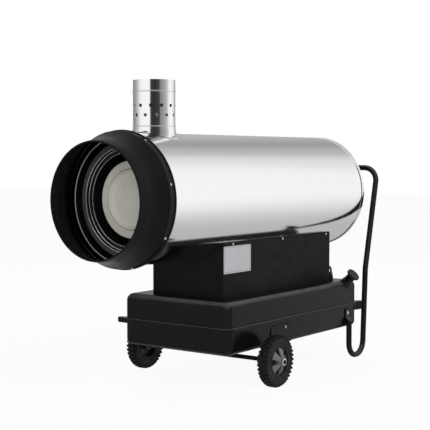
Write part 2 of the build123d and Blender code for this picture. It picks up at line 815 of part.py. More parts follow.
with BuildPart() as nozzle_line:
    extrude(disc_face(across(nozzle_tip_y), nozzle_radius, (0, drum_axis_z)), amount=-nozzle_length)
    line_start_y = nozzle_tip_y + nozzle_length
    extrude(disc_face(across(line_start_y), pipe_radius, (0, drum_axis_z)),
            amount=line_start_y - pump_start_y)
save(nozzle_line, "nozzle_line")

with BuildPart() as electrodes:
    electrode_y = diffuser_y + diffuser_thickness + seat_gap
    for side in (-1, 1):
        rod = disc_face(across(electrode_y), electrode_radius, (side * electrode_offset, drum_axis_z))
        extrude(rod, amount=-nozzle_length + diffuser_thickness * 4)
    bridge = box_face(across(electrode_y + nozzle_length / 2), electrode_offset * 2, electrode_radius * 4,
                      (0, drum_axis_z + nozzle_radius + seat_gap + electrode_radius * 2))
    extrude(bridge, amount=-electrode_radius * 2)
    for side in (-1, 1):
        post = box_face(across(electrode_y + nozzle_length / 2), electrode_radius * 2,
                        nozzle_radius + seat_gap + electrode_radius * 2,
                        (side * electrode_offset,
                         drum_axis_z + (nozzle_radius + seat_gap + electrode_radius * 2) / 2))
        extrude(post, amount=-electrode_radius * 2)
save(electrodes, "electrodes")

# Cabinet: folded tray with front and rear panels shaped to the drum, cradles, and side panels
drum_clear = disc_face(across(cabinet_start_y - overrun), drum_radius + seat_gap, (0, drum_axis_z))
with BuildPart() as cabinet_tray:
    tray = box_face(Plane.XY.offset(cabinet_base_z), cabinet_inner_half * 2, cabinet_length,
                    (0, cabinet_mid_y))
    extrude(tray, amount=sheet)
    wall_height = drum_axis_z - cabinet_base_z
    for wall_y in (cabinet_start_y, cabinet_end_y - sheet):
        wall = box_face(across(wall_y), cabinet_inner_half * 2, panel_top_z - cabinet_base_z,
                        (0, (panel_top_z + cabinet_base_z) / 2))
        extrude(wall, amount=-sheet)
    extrude(drum_clear, amount=-(cabinet_length + overrun * 2), mode=Mode.SUBTRACT)
    gland_bore = disc_face(across(cabinet_end_y + overrun), gland_radius - sheet * 2, (gland_x, hose_z))
    extrude(gland_bore, amount=overrun * 2, mode=Mode.SUBTRACT)
    bulkhead_bore = disc_face(across(cabinet_end_y + overrun), hose_radius + seat_gap,
                              (outlet_x, hose_z))
    extrude(bulkhead_bore, amount=overrun * 2, mode=Mode.SUBTRACT)
save(cabinet_tray, "cabinet_tray")

with BuildPart() as drum_cradles:
    for reach in cradle_reaches:
        cradle_y = back(reach) - cradle_thickness / 2
        cradle = box_face(across(cradle_y), (cabinet_inner_half - seat_gap) * 2,
                          panel_top_z - cabinet_base_z - sheet,
                          (0, (panel_top_z + cabinet_base_z + sheet) / 2))
        extrude(cradle, amount=-cradle_thickness)
    extrude(drum_clear, amount=-(cabinet_length + overrun * 2), mode=Mode.SUBTRACT)
    window = box_face(across(cabinet_start_y - overrun), cradle_window_width, cradle_window_height,
                      (0, cabinet_base_z + cradle_window_height / 2 + overrun), sheet * 4)
    extrude(window, amount=-(cabinet_length + overrun * 2), mode=Mode.SUBTRACT)
    line_slot = box_face(across(cabinet_end_y + overrun), filter_radius * 3, filter_radius * 2,
                         ((filter_x + outlet_x) / 2, hose_z), sheet * 2)
    extrude(line_slot, amount=cabinet_end_y + overrun - cabinet_mid_y, mode=Mode.SUBTRACT)
save(drum_cradles, "drum_cradles")

for side, name in ((1, "side_panel_right"), (-1, "side_panel_left")):
    with BuildPart() as side_panel:
        panel = box_face(aside(side * cabinet_inner_half), cabinet_length, panel_top_z - cabinet_base_z,
                         (cabinet_mid_y, (panel_top_z + cabinet_base_z) / 2))
        extrude(panel, amount=side * sheet)
        for reach in cradle_reaches:
            bore = disc_face(aside(side * cabinet_inner_half), screw_shank_radius + seat_gap,
                             (back(reach), panel_screw_z))
            extrude(bore, amount=side * sheet, mode=Mode.SUBTRACT)
        if side < 0:
            window = box_face(aside(-cabinet_inner_half), control_plate_length - control_plate_margin,
                              control_plate_height - control_plate_margin,
                              (cabinet_end_y - control_plate_inset, control_plate_z))
            extrude(window, amount=-sheet, mode=Mode.SUBTRACT)
    save(side_panel, name)

with BuildPart() as rating_plate:
    plate = box_face(aside(cabinet_half_width), plate_width, plate_height,
                     (cabinet_start_y + plate_inset + plate_width / 2,
                      panel_top_z - plate_top_drop - plate_height / 2))
    extrude(plate, amount=plate_thickness)
save(rating_plate, "rating_plate")

# Controls on the left side panel
control_y = cabinet_end_y - control_plate_inset
control_face_x = -(cabinet_half_width + sheet)
switch_y = control_y - switch_offset
knob_y = control_y + knob_offset
button_y = control_y + button_offset
button_z = control_plate_z - button_drop
lamp_z = control_plate_z + button_drop
with BuildPart() as control_plate:
    plate_sheet = box_face(aside(-cabinet_half_width), control_plate_length, control_plate_height,
                           (control_y, control_plate_z), sheet * 3)
    extrude(plate_sheet, amount=-sheet)
    frame_face = box_face(aside(control_face_x), switch_length + switch_bezel * 2,
                          switch_height + switch_bezel * 2, (switch_y, control_plate_z), sheet)
    extrude(frame_face, amount=-sheet)
    housing = box_face(aside(-cabinet_half_width), control_plate_length - control_plate_margin * 2,
                       control_plate_height - control_plate_margin * 2, (control_y, control_plate_z), sheet)
    extrude(housing, amount=control_depth)
    switch_hole = box_face(aside(control_face_x - sheet), switch_length + seat_gap * 4,
                           switch_height + seat_gap * 4, (switch_y, control_plate_z))
    extrude(switch_hole, amount=control_depth / 2, mode=Mode.SUBTRACT)
    knob_hole = disc_face(aside(control_face_x), knob_stem_radius + running_gap, (knob_y, control_plate_z))
    extrude(knob_hole, amount=control_depth / 2, mode=Mode.SUBTRACT)
    button_hole = disc_face(aside(control_face_x), button_radius + seat_gap, (button_y, button_z))
    extrude(button_hole, amount=control_depth / 2, mode=Mode.SUBTRACT)
    lamp_hole = disc_face(aside(control_face_x), lamp_radius + seat_gap, (button_y, lamp_z))
    extrude(lamp_hole, amount=sheet, mode=Mode.SUBTRACT)
save(control_plate, "control_plate")

with BuildPart() as power_switch:
    rocker_radius = switch_height * half_share
    rocker_back_x = control_face_x + switch_height / 4
    with BuildSketch(across(switch_y - switch_length / 2)):
        with BuildLine():
            rocker_points = [
                (rocker_back_x, control_plate_z - rocker_radius + seat_gap * 2),
                (control_face_x - sheet - switch_bezel, control_plate_z - rocker_radius + seat_gap * 6),
                (control_face_x - sheet, control_plate_z),
                (control_face_x - sheet * 2, control_plate_z + rocker_radius - seat_gap * 6),
                (rocker_back_x, control_plate_z + rocker_radius - seat_gap * 2),
            ]
            Polyline(*rocker_points, close=True)
        make_face()
    extrude(amount=-switch_length)
save(power_switch, "power_switch")

with BuildPart() as thermostat_knob:
    knob_base_x = control_face_x - seat_gap
    extrude(disc_face(aside(knob_base_x), knob_radius, (knob_y, control_plate_z)),
            amount=-knob_height * half_share)
    grip = box_face(aside(knob_base_x), knob_grip_width, (knob_radius - sheet) * 2,
                    (knob_y, control_plate_z), sheet)
    extrude(grip, amount=-knob_height)
    stem = disc_face(aside(knob_base_x), knob_stem_radius, (knob_y, control_plate_z))
    extrude(stem, amount=control_depth / 2 - sheet)
save(thermostat_knob, "thermostat_knob")

with BuildPart() as reset_button:
    extrude(disc_face(aside(control_face_x), button_radius, (button_y, button_z)),
            amount=-button_height)
    stem = disc_face(aside(control_face_x), button_radius, (button_y, button_z))
    extrude(stem, amount=control_depth / 2 - button_travel - sheet)
    button_rim = edges().filter_by(GeomType.CIRCLE).sort_by(Axis.X)[0]
    fillet(button_rim, sheet / 2)
save(reset_button, "reset_button")

with BuildPart() as indicator_lamp:
    extrude(disc_face(aside(control_face_x + sheet), lamp_radius, (button_y, lamp_z)),
            amount=-(lamp_height + sheet))
    lamp_rim = edges().filter_by(GeomType.CIRCLE).sort_by(Axis.X)[0]
    fillet(lamp_rim, lamp_radius * half_share)
save(indicator_lamp, "indicator_lamp")

with BuildPart() as cable_gland:
    gland_face_y = cabinet_end_y
    extrude(disc_face(across(gland_face_y), gland_radius, (gland_x, hose_z)), amount=-gland_length / 2)
    with BuildSketch(across(gland_face_y + gland_length / 2)):
        with Locations((gland_x, hose_z)):
            RegularPolygon(gland_radius - sheet / 2, 6)
    extrude(amount=-gland_length / 2)
    neck = disc_face(across(gland_face_y), gland_radius - sheet * 2 - seat_gap, (gland_x, hose_z))
    extrude(neck, amount=gland_length / 2)
    bore = disc_face(across(gland_face_y + gland_length), gland_bore_radius, (gland_x, hose_z))
    extrude(bore, amount=gland_length * 2, mode=Mode.SUBTRACT)
save(cable_gland, "cable_gland")

# Electrical boxes on the cabinet floor
floor_z = cabinet_base_z + sheet
for reach, name, height in ((transformer_reach, "ignition_transformer", transformer_height),
                            (control_unit_reach, "control_unit", control_unit_height)):
    with BuildPart() as electric_box:
        case = box_face(Plane.XY.offset(floor_z), box_width, box_length, (0, back(reach)), sheet * 2)
        extrude(case, amount=height)
        foot = box_face(Plane.XY.offset(floor_z), box_width + box_foot_width * 2, box_length * half_share,
                        (0, back(reach)), sheet)
        extrude(foot, amount=sheet)
        fillet(faces().sort_by(Axis.Z)[-1].edges(), sheet)
    save(electric_box, name)


# Fuel tank: rounded blocks, hollowed, each with its flange at the seam and its half of the lugs
def rounded_tank(inset, z_from, z_to, edge_round, top):
    """A block of the tank's plan, drawn in by inset, rounded at its top or bottom edge."""
    with BuildPart() as block:
        plan = box_face(Plane.XY.offset(z_from), (tank_half_width - inset) * 2, tank_length - inset * 2,
                        (0, tank_mid_y), tank_corner_radius - inset)
        extrude(plan, amount=z_to - z_from)
        rim = block.faces().sort_by(Axis.Z)[-1 if top else 0]
        fillet(rim.edges(), edge_round - inset)
    return block.part


def flange_block(z_from, height, reach, edge_round, top):
    """The seam flange of one shell, rounded where it faces away from the seam."""
    with BuildPart() as block:
        plan = box_face(Plane.XY.offset(z_from), (tank_half_width + reach) * 2, tank_length + reach * 2,
                        (0, tank_mid_y), tank_corner_radius + reach)
        extrude(plan, amount=height)
        rim = block.faces().sort_by(Axis.Z)[-1 if top else 0]
        fillet(rim.edges(), edge_round)
    return block.part


def lug_block(root, tip, z_from, height, top):
    """Half of a lug at the seam, a tapering tongue rounded where it faces away from the seam."""
    with BuildPart() as block:
        extrude(hull_face(Plane.XY.offset(z_from), root, lug_root_radius, tip, lug_tip_radius),
                amount=height)
        rim = block.faces().sort_by(Axis.Z)[-1 if top else 0]
        fillet(rim.edges(), lug_round)
    return block.part


lug_root_x = tank_half_width - lug_root_inset
lug_tip_x = handle_x - handle_tube_radius + seat_gap
lug_root_y = tank_end_y - lug_root_inset
lug_tip_y = tank_end_y + rear_lug_reach
rear_lugs = [((side * lug_root_x, lug_root_y), (side * lug_tip_x, lug_tip_y)) for side in (-1, 1)]
front_ear = ((-lug_root_x, tank_start_y + lug_root_inset),
             (-(tank_half_width + ear_reach), tank_start_y + ear_inset))


def filler_plane(distance):
    """A plane square to the filler's axis, this far from the centre of the tank's rounded edge."""
    turn = math.radians(filler_tilt)
    outward = Vector(math.sin(turn), 0, math.cos(turn))
    centre = Vector(tank_half_width - tank_top_round, back(filler_reach), tank_top_z - tank_top_round)
    return Plane(origin=centre + outward * distance, x_dir=(0, 1, 0), z_dir=outward)


def handle_leg_clear():
    """The space that the right handle leg takes beside the rear lug, with its clearance."""
    with BuildPart() as leg:
        with BuildLine():
            Polyline((handle_x, heel_y, handle_tube_radius), (handle_x, knee_y, handle_knee_z))
        start = Plane(origin=(handle_x, heel_y, handle_tube_radius),
                      z_dir=(0, knee_y - heel_y, handle_knee_z - handle_tube_radius))
        with BuildSketch(start):
            Circle(handle_tube_radius + seat_gap)
        sweep()
    return leg.part


leg_clear = handle_leg_clear()

with BuildPart() as tank_upper:
    add(rounded_tank(0, tank_seam_z, tank_top_z, tank_top_round, True))
    add(flange_block(tank_seam_z, upper_flange_height, upper_flange_reach, upper_flange_round, True))
    for root, tip in (*rear_lugs, front_ear):
        add(lug_block(root, tip, tank_seam_z, upper_flange_height, True))
    extrude(disc_face(filler_plane(0), boss_base_radius), amount=boss_end, taper=math.degrees(
        math.atan((boss_base_radius - boss_top_radius) / boss_end)))
    add(rounded_tank(sheet, tank_seam_z - overrun, tank_top_z - sheet, tank_top_round, True),
        mode=Mode.SUBTRACT)
    filler_bore = disc_face(filler_plane(-overrun), neck_radius + seat_gap)
    extrude(filler_bore, amount=boss_end + overrun * 2, mode=Mode.SUBTRACT)
    add(leg_clear, mode=Mode.SUBTRACT)
    add(mirror(leg_clear, about=Plane.YZ, mode=Mode.PRIVATE), mode=Mode.SUBTRACT)
    pickup_hole = disc_face(Plane.XY.offset(tank_top_z - overrun), pickup_radius + seat_gap,
                            (outlet_x, back(outlet_reach)))
    extrude(pickup_hole, amount=overrun * 2, mode=Mode.SUBTRACT)
save(tank_upper, "tank_upper")

with BuildPart() as tank_lower:
    add(rounded_tank(0, tank_bottom_z, tank_seam_z, tank_bottom_round, False))
    add(flange_block(tank_seam_z - lower_flange_height, lower_flange_height, lower_flange_reach,
                     lower_flange_round, False))
    for root, tip in rear_lugs:
        add(lug_block(root, tip, tank_seam_z - lug_lower_height, lug_lower_height, False))
    add(lug_block(*front_ear, tank_seam_z - ear_lower_height, ear_lower_height, False))
    add(rounded_tank(sheet, tank_bottom_z + sheet, tank_seam_z + overrun, tank_bottom_round, False),
        mode=Mode.SUBTRACT)
    add(leg_clear, mode=Mode.SUBTRACT)
    add(mirror(leg_clear, about=Plane.YZ, mode=Mode.PRIVATE), mode=Mode.SUBTRACT)
    drain_hole = disc_face(Plane.XY.offset(tank_bottom_z - overrun), drain_radius + seat_gap,
                           (0, back(drain_reach)))
    extrude(drain_hole, amount=overrun * 2, mode=Mode.SUBTRACT)
save(tank_lower, "tank_lower")

with BuildPart() as drain_plug:
    with BuildSketch(Plane.XY.offset(tank_bottom_z - seat_gap)):
        with Locations((0, back(drain_reach))):
            RegularPolygon(drain_head_radius, 6)
    extrude(amount=-drain_height)
    extrude(disc_face(Plane.XY.offset(tank_bottom_z - seat_gap), drain_radius, (0, back(drain_reach))),
            amount=drain_height)
save(drain_plug, "drain_plug")

# Filler neck, strainer and cap, all on the tilted filler axis
with BuildPart() as filler_neck:
    extrude(ring_face(filler_plane(neck_start), neck_radius, neck_radius - neck_wall),
            amount=neck_end - neck_start)
save(filler_neck, "filler_neck")

with BuildPart() as filler_cap:
    cap_seat = neck_end + seat_gap
    extrude(disc_face(filler_plane(cap_seat), cap_radius), amount=cap_height)
    fillet(edges().filter_by(GeomType.CIRCLE), cap_round)
    extrude(disc_face(filler_plane(cap_seat + cap_height - cap_face_step), cap_face_radius),
            amount=cap_face_step, mode=Mode.SUBTRACT)
    plug_radius = neck_radius - neck_wall - seat_gap
    extrude(disc_face(filler_plane(cap_seat), plug_radius), amount=-cap_plug_length)
save(filler_cap, "filler_cap")

with BuildPart() as filler_strainer:
    rim_at = cap_seat - cap_plug_length - strainer_rim_height - seat_gap
    extrude(ring_face(filler_plane(rim_at), plug_radius, strainer_radius - strainer_wall),
            amount=strainer_rim_height)
    extrude(ring_face(filler_plane(rim_at), strainer_radius, strainer_radius - strainer_wall),
            amount=-strainer_length)
    extrude(disc_face(filler_plane(rim_at - strainer_length), strainer_radius), amount=-strainer_wall)
save(filler_strainer, "filler_strainer")

# Fuel outlet on the tank, the hose to the cabinet, and the line inside it
outlet_y = back(outlet_reach)
fitting_base_z = tank_top_z + seat_gap
banjo_z = fitting_base_z + fitting_height
with BuildPart() as pickup_tube:
    pickup_bottom_z = tank_bottom_z + pickup_clearance
    extrude(disc_face(Plane.XY.offset(fitting_base_z), pickup_radius, (outlet_x, outlet_y)),
            amount=pickup_bottom_z - fitting_base_z)
    extrude(disc_face(Plane.XY.offset(pickup_bottom_z), pickup_strainer_radius, (outlet_x, outlet_y)),
            amount=pickup_strainer_length)
save(pickup_tube, "pickup_tube")

with BuildPart() as outlet_fitting:
    with BuildSketch(Plane.XY.offset(fitting_base_z)):
        with Locations((outlet_x, outlet_y)):
            RegularPolygon(fitting_radius + sheet, 6)
    extrude(amount=fitting_height * half_share)
    extrude(disc_face(Plane.XY.offset(fitting_base_z), fitting_radius, (outlet_x, outlet_y)),
            amount=fitting_height)
save(outlet_fitting, "outlet_fitting")

# Bright fittings that hold the hose, one on the tank's outlet and one on the cabinet's rear panel
with BuildPart() as hose_fittings:
    extrude(disc_face(Plane.XY.offset(banjo_z), banjo_radius, (outlet_x, outlet_y)), amount=banjo_height)
    with BuildSketch(Plane.XY.offset(banjo_z + banjo_height / 4)):
        with Locations((outlet_x, outlet_y)):
            RegularPolygon(banjo_radius + sheet / 2, 6)
    extrude(amount=banjo_height / 2)
    with BuildSketch(across(cabinet_end_y)):
        with Locations((outlet_x, hose_z)):
            RegularPolygon(bulkhead_radius, 6)
    extrude(amount=-bulkhead_length)
    extrude(disc_face(across(cabinet_end_y), hose_radius, (outlet_x, hose_z)), amount=overrun)
save(hose_fittings, "hose_fittings")

with BuildPart() as fuel_hose:
    hose_start = (outlet_x, cabinet_end_y + bulkhead_length, hose_z)
    hose_run = outlet_y - cabinet_end_y - bulkhead_length
    hose_drop = hose_z - banjo_z - banjo_height
    hose_bend_radius = min(hose_run, hose_drop) * hose_bend_share
    with BuildLine():
        FilletPolyline(hose_start, (outlet_x, outlet_y, hose_z),
                       (outlet_x, outlet_y, banjo_z + banjo_height), radius=hose_bend_radius)
    with BuildSketch(across(cabinet_end_y + bulkhead_length)):
        with Locations((outlet_x, hose_z)):
            Circle(hose_radius)
    sweep()
save(fuel_hose, "fuel_hose")

with BuildPart() as fuel_filter:
    filter_end_y = back(filter_end_reach)
    extrude(disc_face(across(filter_end_y), filter_radius, (filter_x, hose_z)), amount=filter_length)
    fillet(edges().filter_by(GeomType.CIRCLE), filter_end_round)
    filter_foot_height = hose_z - filter_radius - floor_z - seat_gap
    filter_foot = box_face(Plane.XY.offset(floor_z), filter_radius, filter_length * half_share,
                           (filter_x, filter_end_y - filter_length / 2))
    extrude(filter_foot, amount=filter_foot_height + sheet)
save(fuel_filter, "fuel_filter")

# Metal pipes inside the cabinet, from the hose to the filter and from the filter to the pump
with BuildPart() as fuel_lines:
    line_bend = pipe_radius * 6
    line_start_y = cabinet_end_y - overrun
    with BuildLine():
        FilletPolyline((outlet_x, line_start_y, hose_z), (outlet_x, line_start_y - overrun * 2, hose_z),
                       (filter_x, filter_end_y + overrun * 2, hose_z), (filter_x, filter_end_y, hose_z),
                       radius=line_bend)
    with BuildSketch(across(line_start_y)):
        with Locations((outlet_x, hose_z)):
            Circle(pipe_radius)
    sweep()
    line_start_y = filter_end_y - filter_length
    with BuildLine():
        FilletPolyline((filter_x, line_start_y, hose_z), (filter_x, line_start_y - overrun * 2, hose_z),
                       (0, line_start_y - overrun * 2, hose_z), (0, pipe_y, hose_z),
                       (0, pipe_y, drum_axis_z - pump_side / 2), radius=pipe_radius * 5)
    with BuildSketch(across(line_start_y)):
        with Locations((filter_x, hose_z)):
            Circle(pipe_radius)
    sweep()
save(fuel_lines, "fuel_lines")

with BuildPart() as line_grommet:
    grommet_hole = grommet_radius - grommet_lip
    drum_bottom = Plane.XY.offset(drum_axis_z - drum_radius - grommet_lip)
    extrude(ring_face(drum_bottom, grommet_hole - seat_gap, pipe_radius + seat_gap, (0, pipe_y)),
            amount=grommet_lip * 2 + sheet)
    extrude(ring_face(drum_bottom, grommet_radius, pipe_radius + seat_gap, (0, pipe_y)),
            amount=grommet_lip - seat_gap)
save(line_grommet, "line_grommet")

# Handle: one bent tube, flattened and bolted to the tank's sides, standing on its two lower bends
with BuildPart() as handle_frame:
    grip_y = back(grip_reach)
    foot_z = handle_tube_radius
    right_leg = [(handle_x, toe_y, handle_end_z), (handle_x, toe_y, foot_z), (handle_x, heel_y, foot_z),
                 (handle_x, knee_y, handle_knee_z), (handle_x, grip_y, grip_z)]
    left_leg = [(-x, y, z) for x, y, z in reversed(right_leg)]
    leg_radii = [handle_foot_radius, handle_foot_radius, handle_knee_radius, handle_grip_radius]
    with BuildLine():
        FilletPolyline(*right_leg, *left_leg, radius=leg_radii + leg_radii[::-1])
    with BuildSketch(Plane.XY.offset(handle_end_z)):
        with Locations((handle_x, toe_y)):
            Circle(handle_tube_radius)
            Circle(handle_tube_radius - handle_tube_wall, mode=Mode.SUBTRACT)
    sweep()
    flat_x = tank_half_width + seat_gap + handle_flat_thickness / 2
    flare_z = handle_end_z + handle_flare_length
    for side in (-1, 1):
        flare_from = disc_face(Plane.XY.offset(handle_end_z), handle_tube_radius, (side * handle_x, toe_y))
        flare_to = box_face(Plane.XY.offset(flare_z), handle_flat_thickness, handle_flat_width,
                            (side * flat_x, toe_y))
        loft(sections=[flare_from, flare_to])
        flat = box_face(Plane.XY.offset(flare_z), handle_flat_thickness, handle_flat_width,
                        (side * flat_x, toe_y))
        extrude(flat, amount=handle_flat_length)
        bolt_bore = disc_face(aside(side * tank_half_width), handle_bolt_radius + seat_gap,
                              (toe_y, handle_end_z + handle_bolt_rise))
        extrude(bolt_bore, amount=side * overrun, mode=Mode.SUBTRACT)
save(handle_frame, "handle_frame")

with BuildPart() as handle_bolts:
    bolt_seat_x = tank_half_width + seat_gap + handle_flat_thickness
    for side in (-1, 1):
        centre = (toe_y, handle_end_z + handle_bolt_rise)
        extrude(disc_face(aside(side * bolt_seat_x), handle_bolt_head_radius, centre),
                amount=side * handle_bolt_head_height)
        extrude(disc_face(aside(side * bolt_seat_x), handle_bolt_radius, centre),
                amount=-side * handle_flat_thickness)
save(handle_bolts, "handle_bolts")

# Axle, its gusset brackets on the tank's sides, spacers, washers and nuts
with BuildPart() as axle:
    axle_end_x = hub_face_x + washer_thickness + nut_height
    extrude(disc_face(aside(-axle_end_x), axle_radius, (axle_y, axle_z)), amount=axle_end_x * 2)
save(axle, "axle")

with BuildPart() as axle_brackets:
    front_y = axle_y + axle_bracket_front
    back_y = axle_y + axle_bracket_back
    bracket_top_z = tank_seam_z - axle_bracket_drop
    bracket_low_z = tank_bottom_z + axle_bracket_rise
    bracket_screw_place = (axle_y + axle_bracket_screw_back, tank_seam_z - axle_bracket_screw_drop)
    bracket_x = tank_half_width + seat_gap
    bracket_face_x = bracket_x + axle_bracket_thickness
    for side in (-1, 1):
        with BuildSketch(aside(side * bracket_x)):
            with BuildLine():
                Polyline(
                    (axle_y - axle_bracket_boss, axle_z),
                    (front_y, bracket_low_z + axle_bracket_round),
                    (front_y, bracket_top_z),
                    (back_y, bracket_top_z),
                    (back_y, bracket_low_z),
                    (axle_y, axle_z - axle_bracket_boss),
                    close=True,
                )
            make_face()
            top_corner = vertices().group_by(Axis.Y)[-1].sort_by(Axis.X)[0]
            fillet(top_corner, axle_bracket_round)
            with Locations((axle_y, axle_z)):
                Circle(axle_bracket_boss)
                Circle(axle_radius + seat_gap, mode=Mode.SUBTRACT)
            with Locations(bracket_screw_place):
                Circle(screw_shank_radius + seat_gap, mode=Mode.SUBTRACT)
        extrude(amount=side * axle_bracket_thickness)
save(axle_brackets, "axle_brackets")

# Every sheet metal screw of the heater, as separate solids of one node
with BuildPart() as sheet_screws:
    for index in range(cone_screw_count):
        angle = cone_screw_first_angle + index * 360 / cone_screw_count
        seat = around_drum(angle, back(cone_screw_reach), skirt_radius + seat_gap)
        extrude(disc_face(seat, screw_head_radius), amount=screw_head_height)
        extrude(disc_face(seat, screw_shank_radius), amount=drum_radius + seat_gap - skirt_radius)
    lean = math.degrees(math.asin(saddle_screw_reach / saddle_face_radius))
    for angle, y in ((90, chimney_y - saddle_screw_reach), (90, chimney_y + saddle_screw_reach),
                     (90 - lean, chimney_y), (90 + lean, chimney_y)):
        seat = around_drum(angle, y, saddle_face_radius + seat_gap)
        extrude(disc_face(seat, screw_head_radius), amount=screw_head_height)
    for index in range(guard_spoke_count):
        turn = math.radians(guard_first_angle + index * 360 / guard_spoke_count)
        place = guard_outer_radius + guard_tab_reach / 2
        centre = (math.cos(turn) * place, drum_axis_z + math.sin(turn) * place)
        seat = across(guard_y + guard_wire_radius + seat_gap)
        extrude(disc_face(seat, screw_head_radius, centre), amount=-screw_head_height)
    for side in (-1, 1):
        for reach in cradle_reaches:
            centre = (back(reach), panel_screw_z)
            head = disc_face(aside(side * cabinet_half_width), screw_head_radius, centre)
            extrude(head, amount=side * screw_head_height)
            shank = disc_face(aside(side * cabinet_inner_half), screw_shank_radius, centre)
            extrude(shank, amount=side * sheet)
        centre = bracket_screw_place
        extrude(disc_face(aside(side * bracket_face_x), screw_head_radius, centre),
                amount=side * screw_head_height)
        extrude(disc_face(aside(side * bracket_face_x), screw_shank_radius, centre),
                amount=-side * axle_bracket_thickness)
save(sheet_screws, "sheet_screws")

# Spacers inside the wheels, washers and nuts outside them
with BuildPart() as axle_hardware:
    for side in (-1, 1):
        spacer = ring_face(aside(side * (bracket_face_x + seat_gap)), spacer_radius,
                           axle_radius + running_gap, (axle_y, axle_z))
        extrude(spacer, amount=side * (tyre_inner_x - bracket_face_x - seat_gap * 2))
    washer_x = hub_face_x + seat_gap
    for side in (-1, 1):
        washer = ring_face(aside(side * washer_x), washer_radius, axle_radius + running_gap,
                           (axle_y, axle_z))
        extrude(washer, amount=side * washer_thickness)
        with BuildSketch(aside(side * (washer_x + washer_thickness))):
            with Locations((axle_y, axle_z)):
                RegularPolygon(nut_radius, 6)
                Circle(axle_radius + running_gap, mode=Mode.SUBTRACT)
        extrude(amount=side * (nut_height - seat_gap - sheet))
save(axle_hardware, "axle_hardware")


# Wheels: treaded tyre, black rim with a web, and the pale star cover on its face
def tyre_block():
    """The tyre's outline turned about the axle, grooved in the middle, with round shoulders."""
    with BuildPart() as outline:
        with BuildSketch(Plane.XZ.offset(-axle_y)):
            with Locations((wheel_mid_x, axle_z + (tyre_bore_radius + wheel_radius) / 2)):
                RectangleRounded(tyre_width, wheel_radius - tyre_bore_radius, tyre_shoulder)
            with Locations((wheel_mid_x, axle_z + tyre_bore_radius + tyre_shoulder / 2)):
                Rectangle(rim_width - rim_wall, tyre_shoulder)
        revolve(axis=Axis((0, axle_y, axle_z), (1, 0, 0)))
    return outline.part


def tread_face(x, first_turn):
    """The tread's ring of blocks, seen along the axle."""
    with BuildSketch(aside(x)) as face:
        with Locations((axle_y, axle_z)):
            Circle(wheel_radius - tread_depth)
            with PolarLocations(wheel_radius - tread_depth, tread_count, start_angle=first_turn):
                Rectangle(tread_depth * 3, tread_block_length)
            Circle(tyre_bore_radius, mode=Mode.SUBTRACT)
    return face.sketch


with BuildPart() as right_tyre:
    half_tread = tyre_width / 2
    extrude(tread_face(tyre_inner_x, 0), amount=half_tread)
    extrude(tread_face(wheel_mid_x, 180 / tread_count), amount=half_tread)
    add(tyre_block(), mode=Mode.INTERSECT)

rim_outer_radius = tyre_bore_radius - seat_gap
with BuildPart() as right_rim:
    with BuildSketch(Plane.XZ.offset(-axle_y)):
        with Locations((wheel_mid_x, axle_z + rim_outer_radius - rim_wall / 2)):
            Rectangle(rim_width, rim_wall)
        with Locations((web_face_x - rim_web / 2, axle_z + rim_outer_radius / 2)):
            Rectangle(rim_web, rim_outer_radius)
        with Locations(((web_face_x + tyre_inner_x) / 2, axle_z + rim_boss_radius / 2)):
            Rectangle(web_face_x - tyre_inner_x, rim_boss_radius)
        with Locations((wheel_mid_x, axle_z + (axle_radius + running_gap) / 2)):
            Rectangle(tyre_width * 2, axle_radius + running_gap, mode=Mode.SUBTRACT)
    revolve(axis=Axis((0, axle_y, axle_z), (1, 0, 0)))

with BuildPart() as right_star:
    with BuildSketch(aside(web_face_x)):
        with Locations((axle_y, axle_z)):
            with PolarLocations(0, star_count, start_angle=star_first_angle):
                with BuildLine(mode=Mode.PRIVATE) as fan:
                    root_half_width = star_half_width * star_root_share
                    Polyline((0, -root_half_width), (star_shoulder_radius, -star_half_width),
                             (star_tip_radius, 0), (star_shoulder_radius, star_half_width),
                             (0, root_half_width), close=True)
                add(make_face(fan.edges(), mode=Mode.PRIVATE))
            Circle(axle_radius + running_gap, mode=Mode.SUBTRACT)
    extrude(amount=hub_face_x - web_face_x)
    with BuildPart(mode=Mode.INTERSECT):
        with BuildSketch(Plane.XZ.offset(-axle_y)):
            dish_x = web_face_x + star_dish_rise
            dish_top_x = dish_x + star_thickness
            tip_z = axle_z + star_tip_radius
            boss_z = axle_z + star_boss_radius
            with BuildLine():
                Polyline((web_face_x, tip_z), (web_face_x + star_thickness, tip_z), (dish_top_x, boss_z),
                         (dish_top_x, axle_z), (dish_x, axle_z), (dish_x, boss_z), close=True)
            make_face()
        revolve(axis=Axis((0, axle_y, axle_z), (1, 0, 0)))
    boss = ring_face(aside(web_face_x), star_boss_radius, axle_radius + running_gap, (axle_y, axle_z))
    extrude(boss, amount=hub_face_x - web_face_x)

for piece, name in ((right_tyre, "tyre"), (right_rim, "wheel_rim"), (right_star, "wheel_star")):
    save(piece, name + "_right")
    with BuildPart() as left_piece:
        mirror(piece.part, about=Plane.YZ)
    save(left_piece, name + "_left")
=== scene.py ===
import bpy
import bmesh
import json
import math
from mathutils import Matrix, Vector


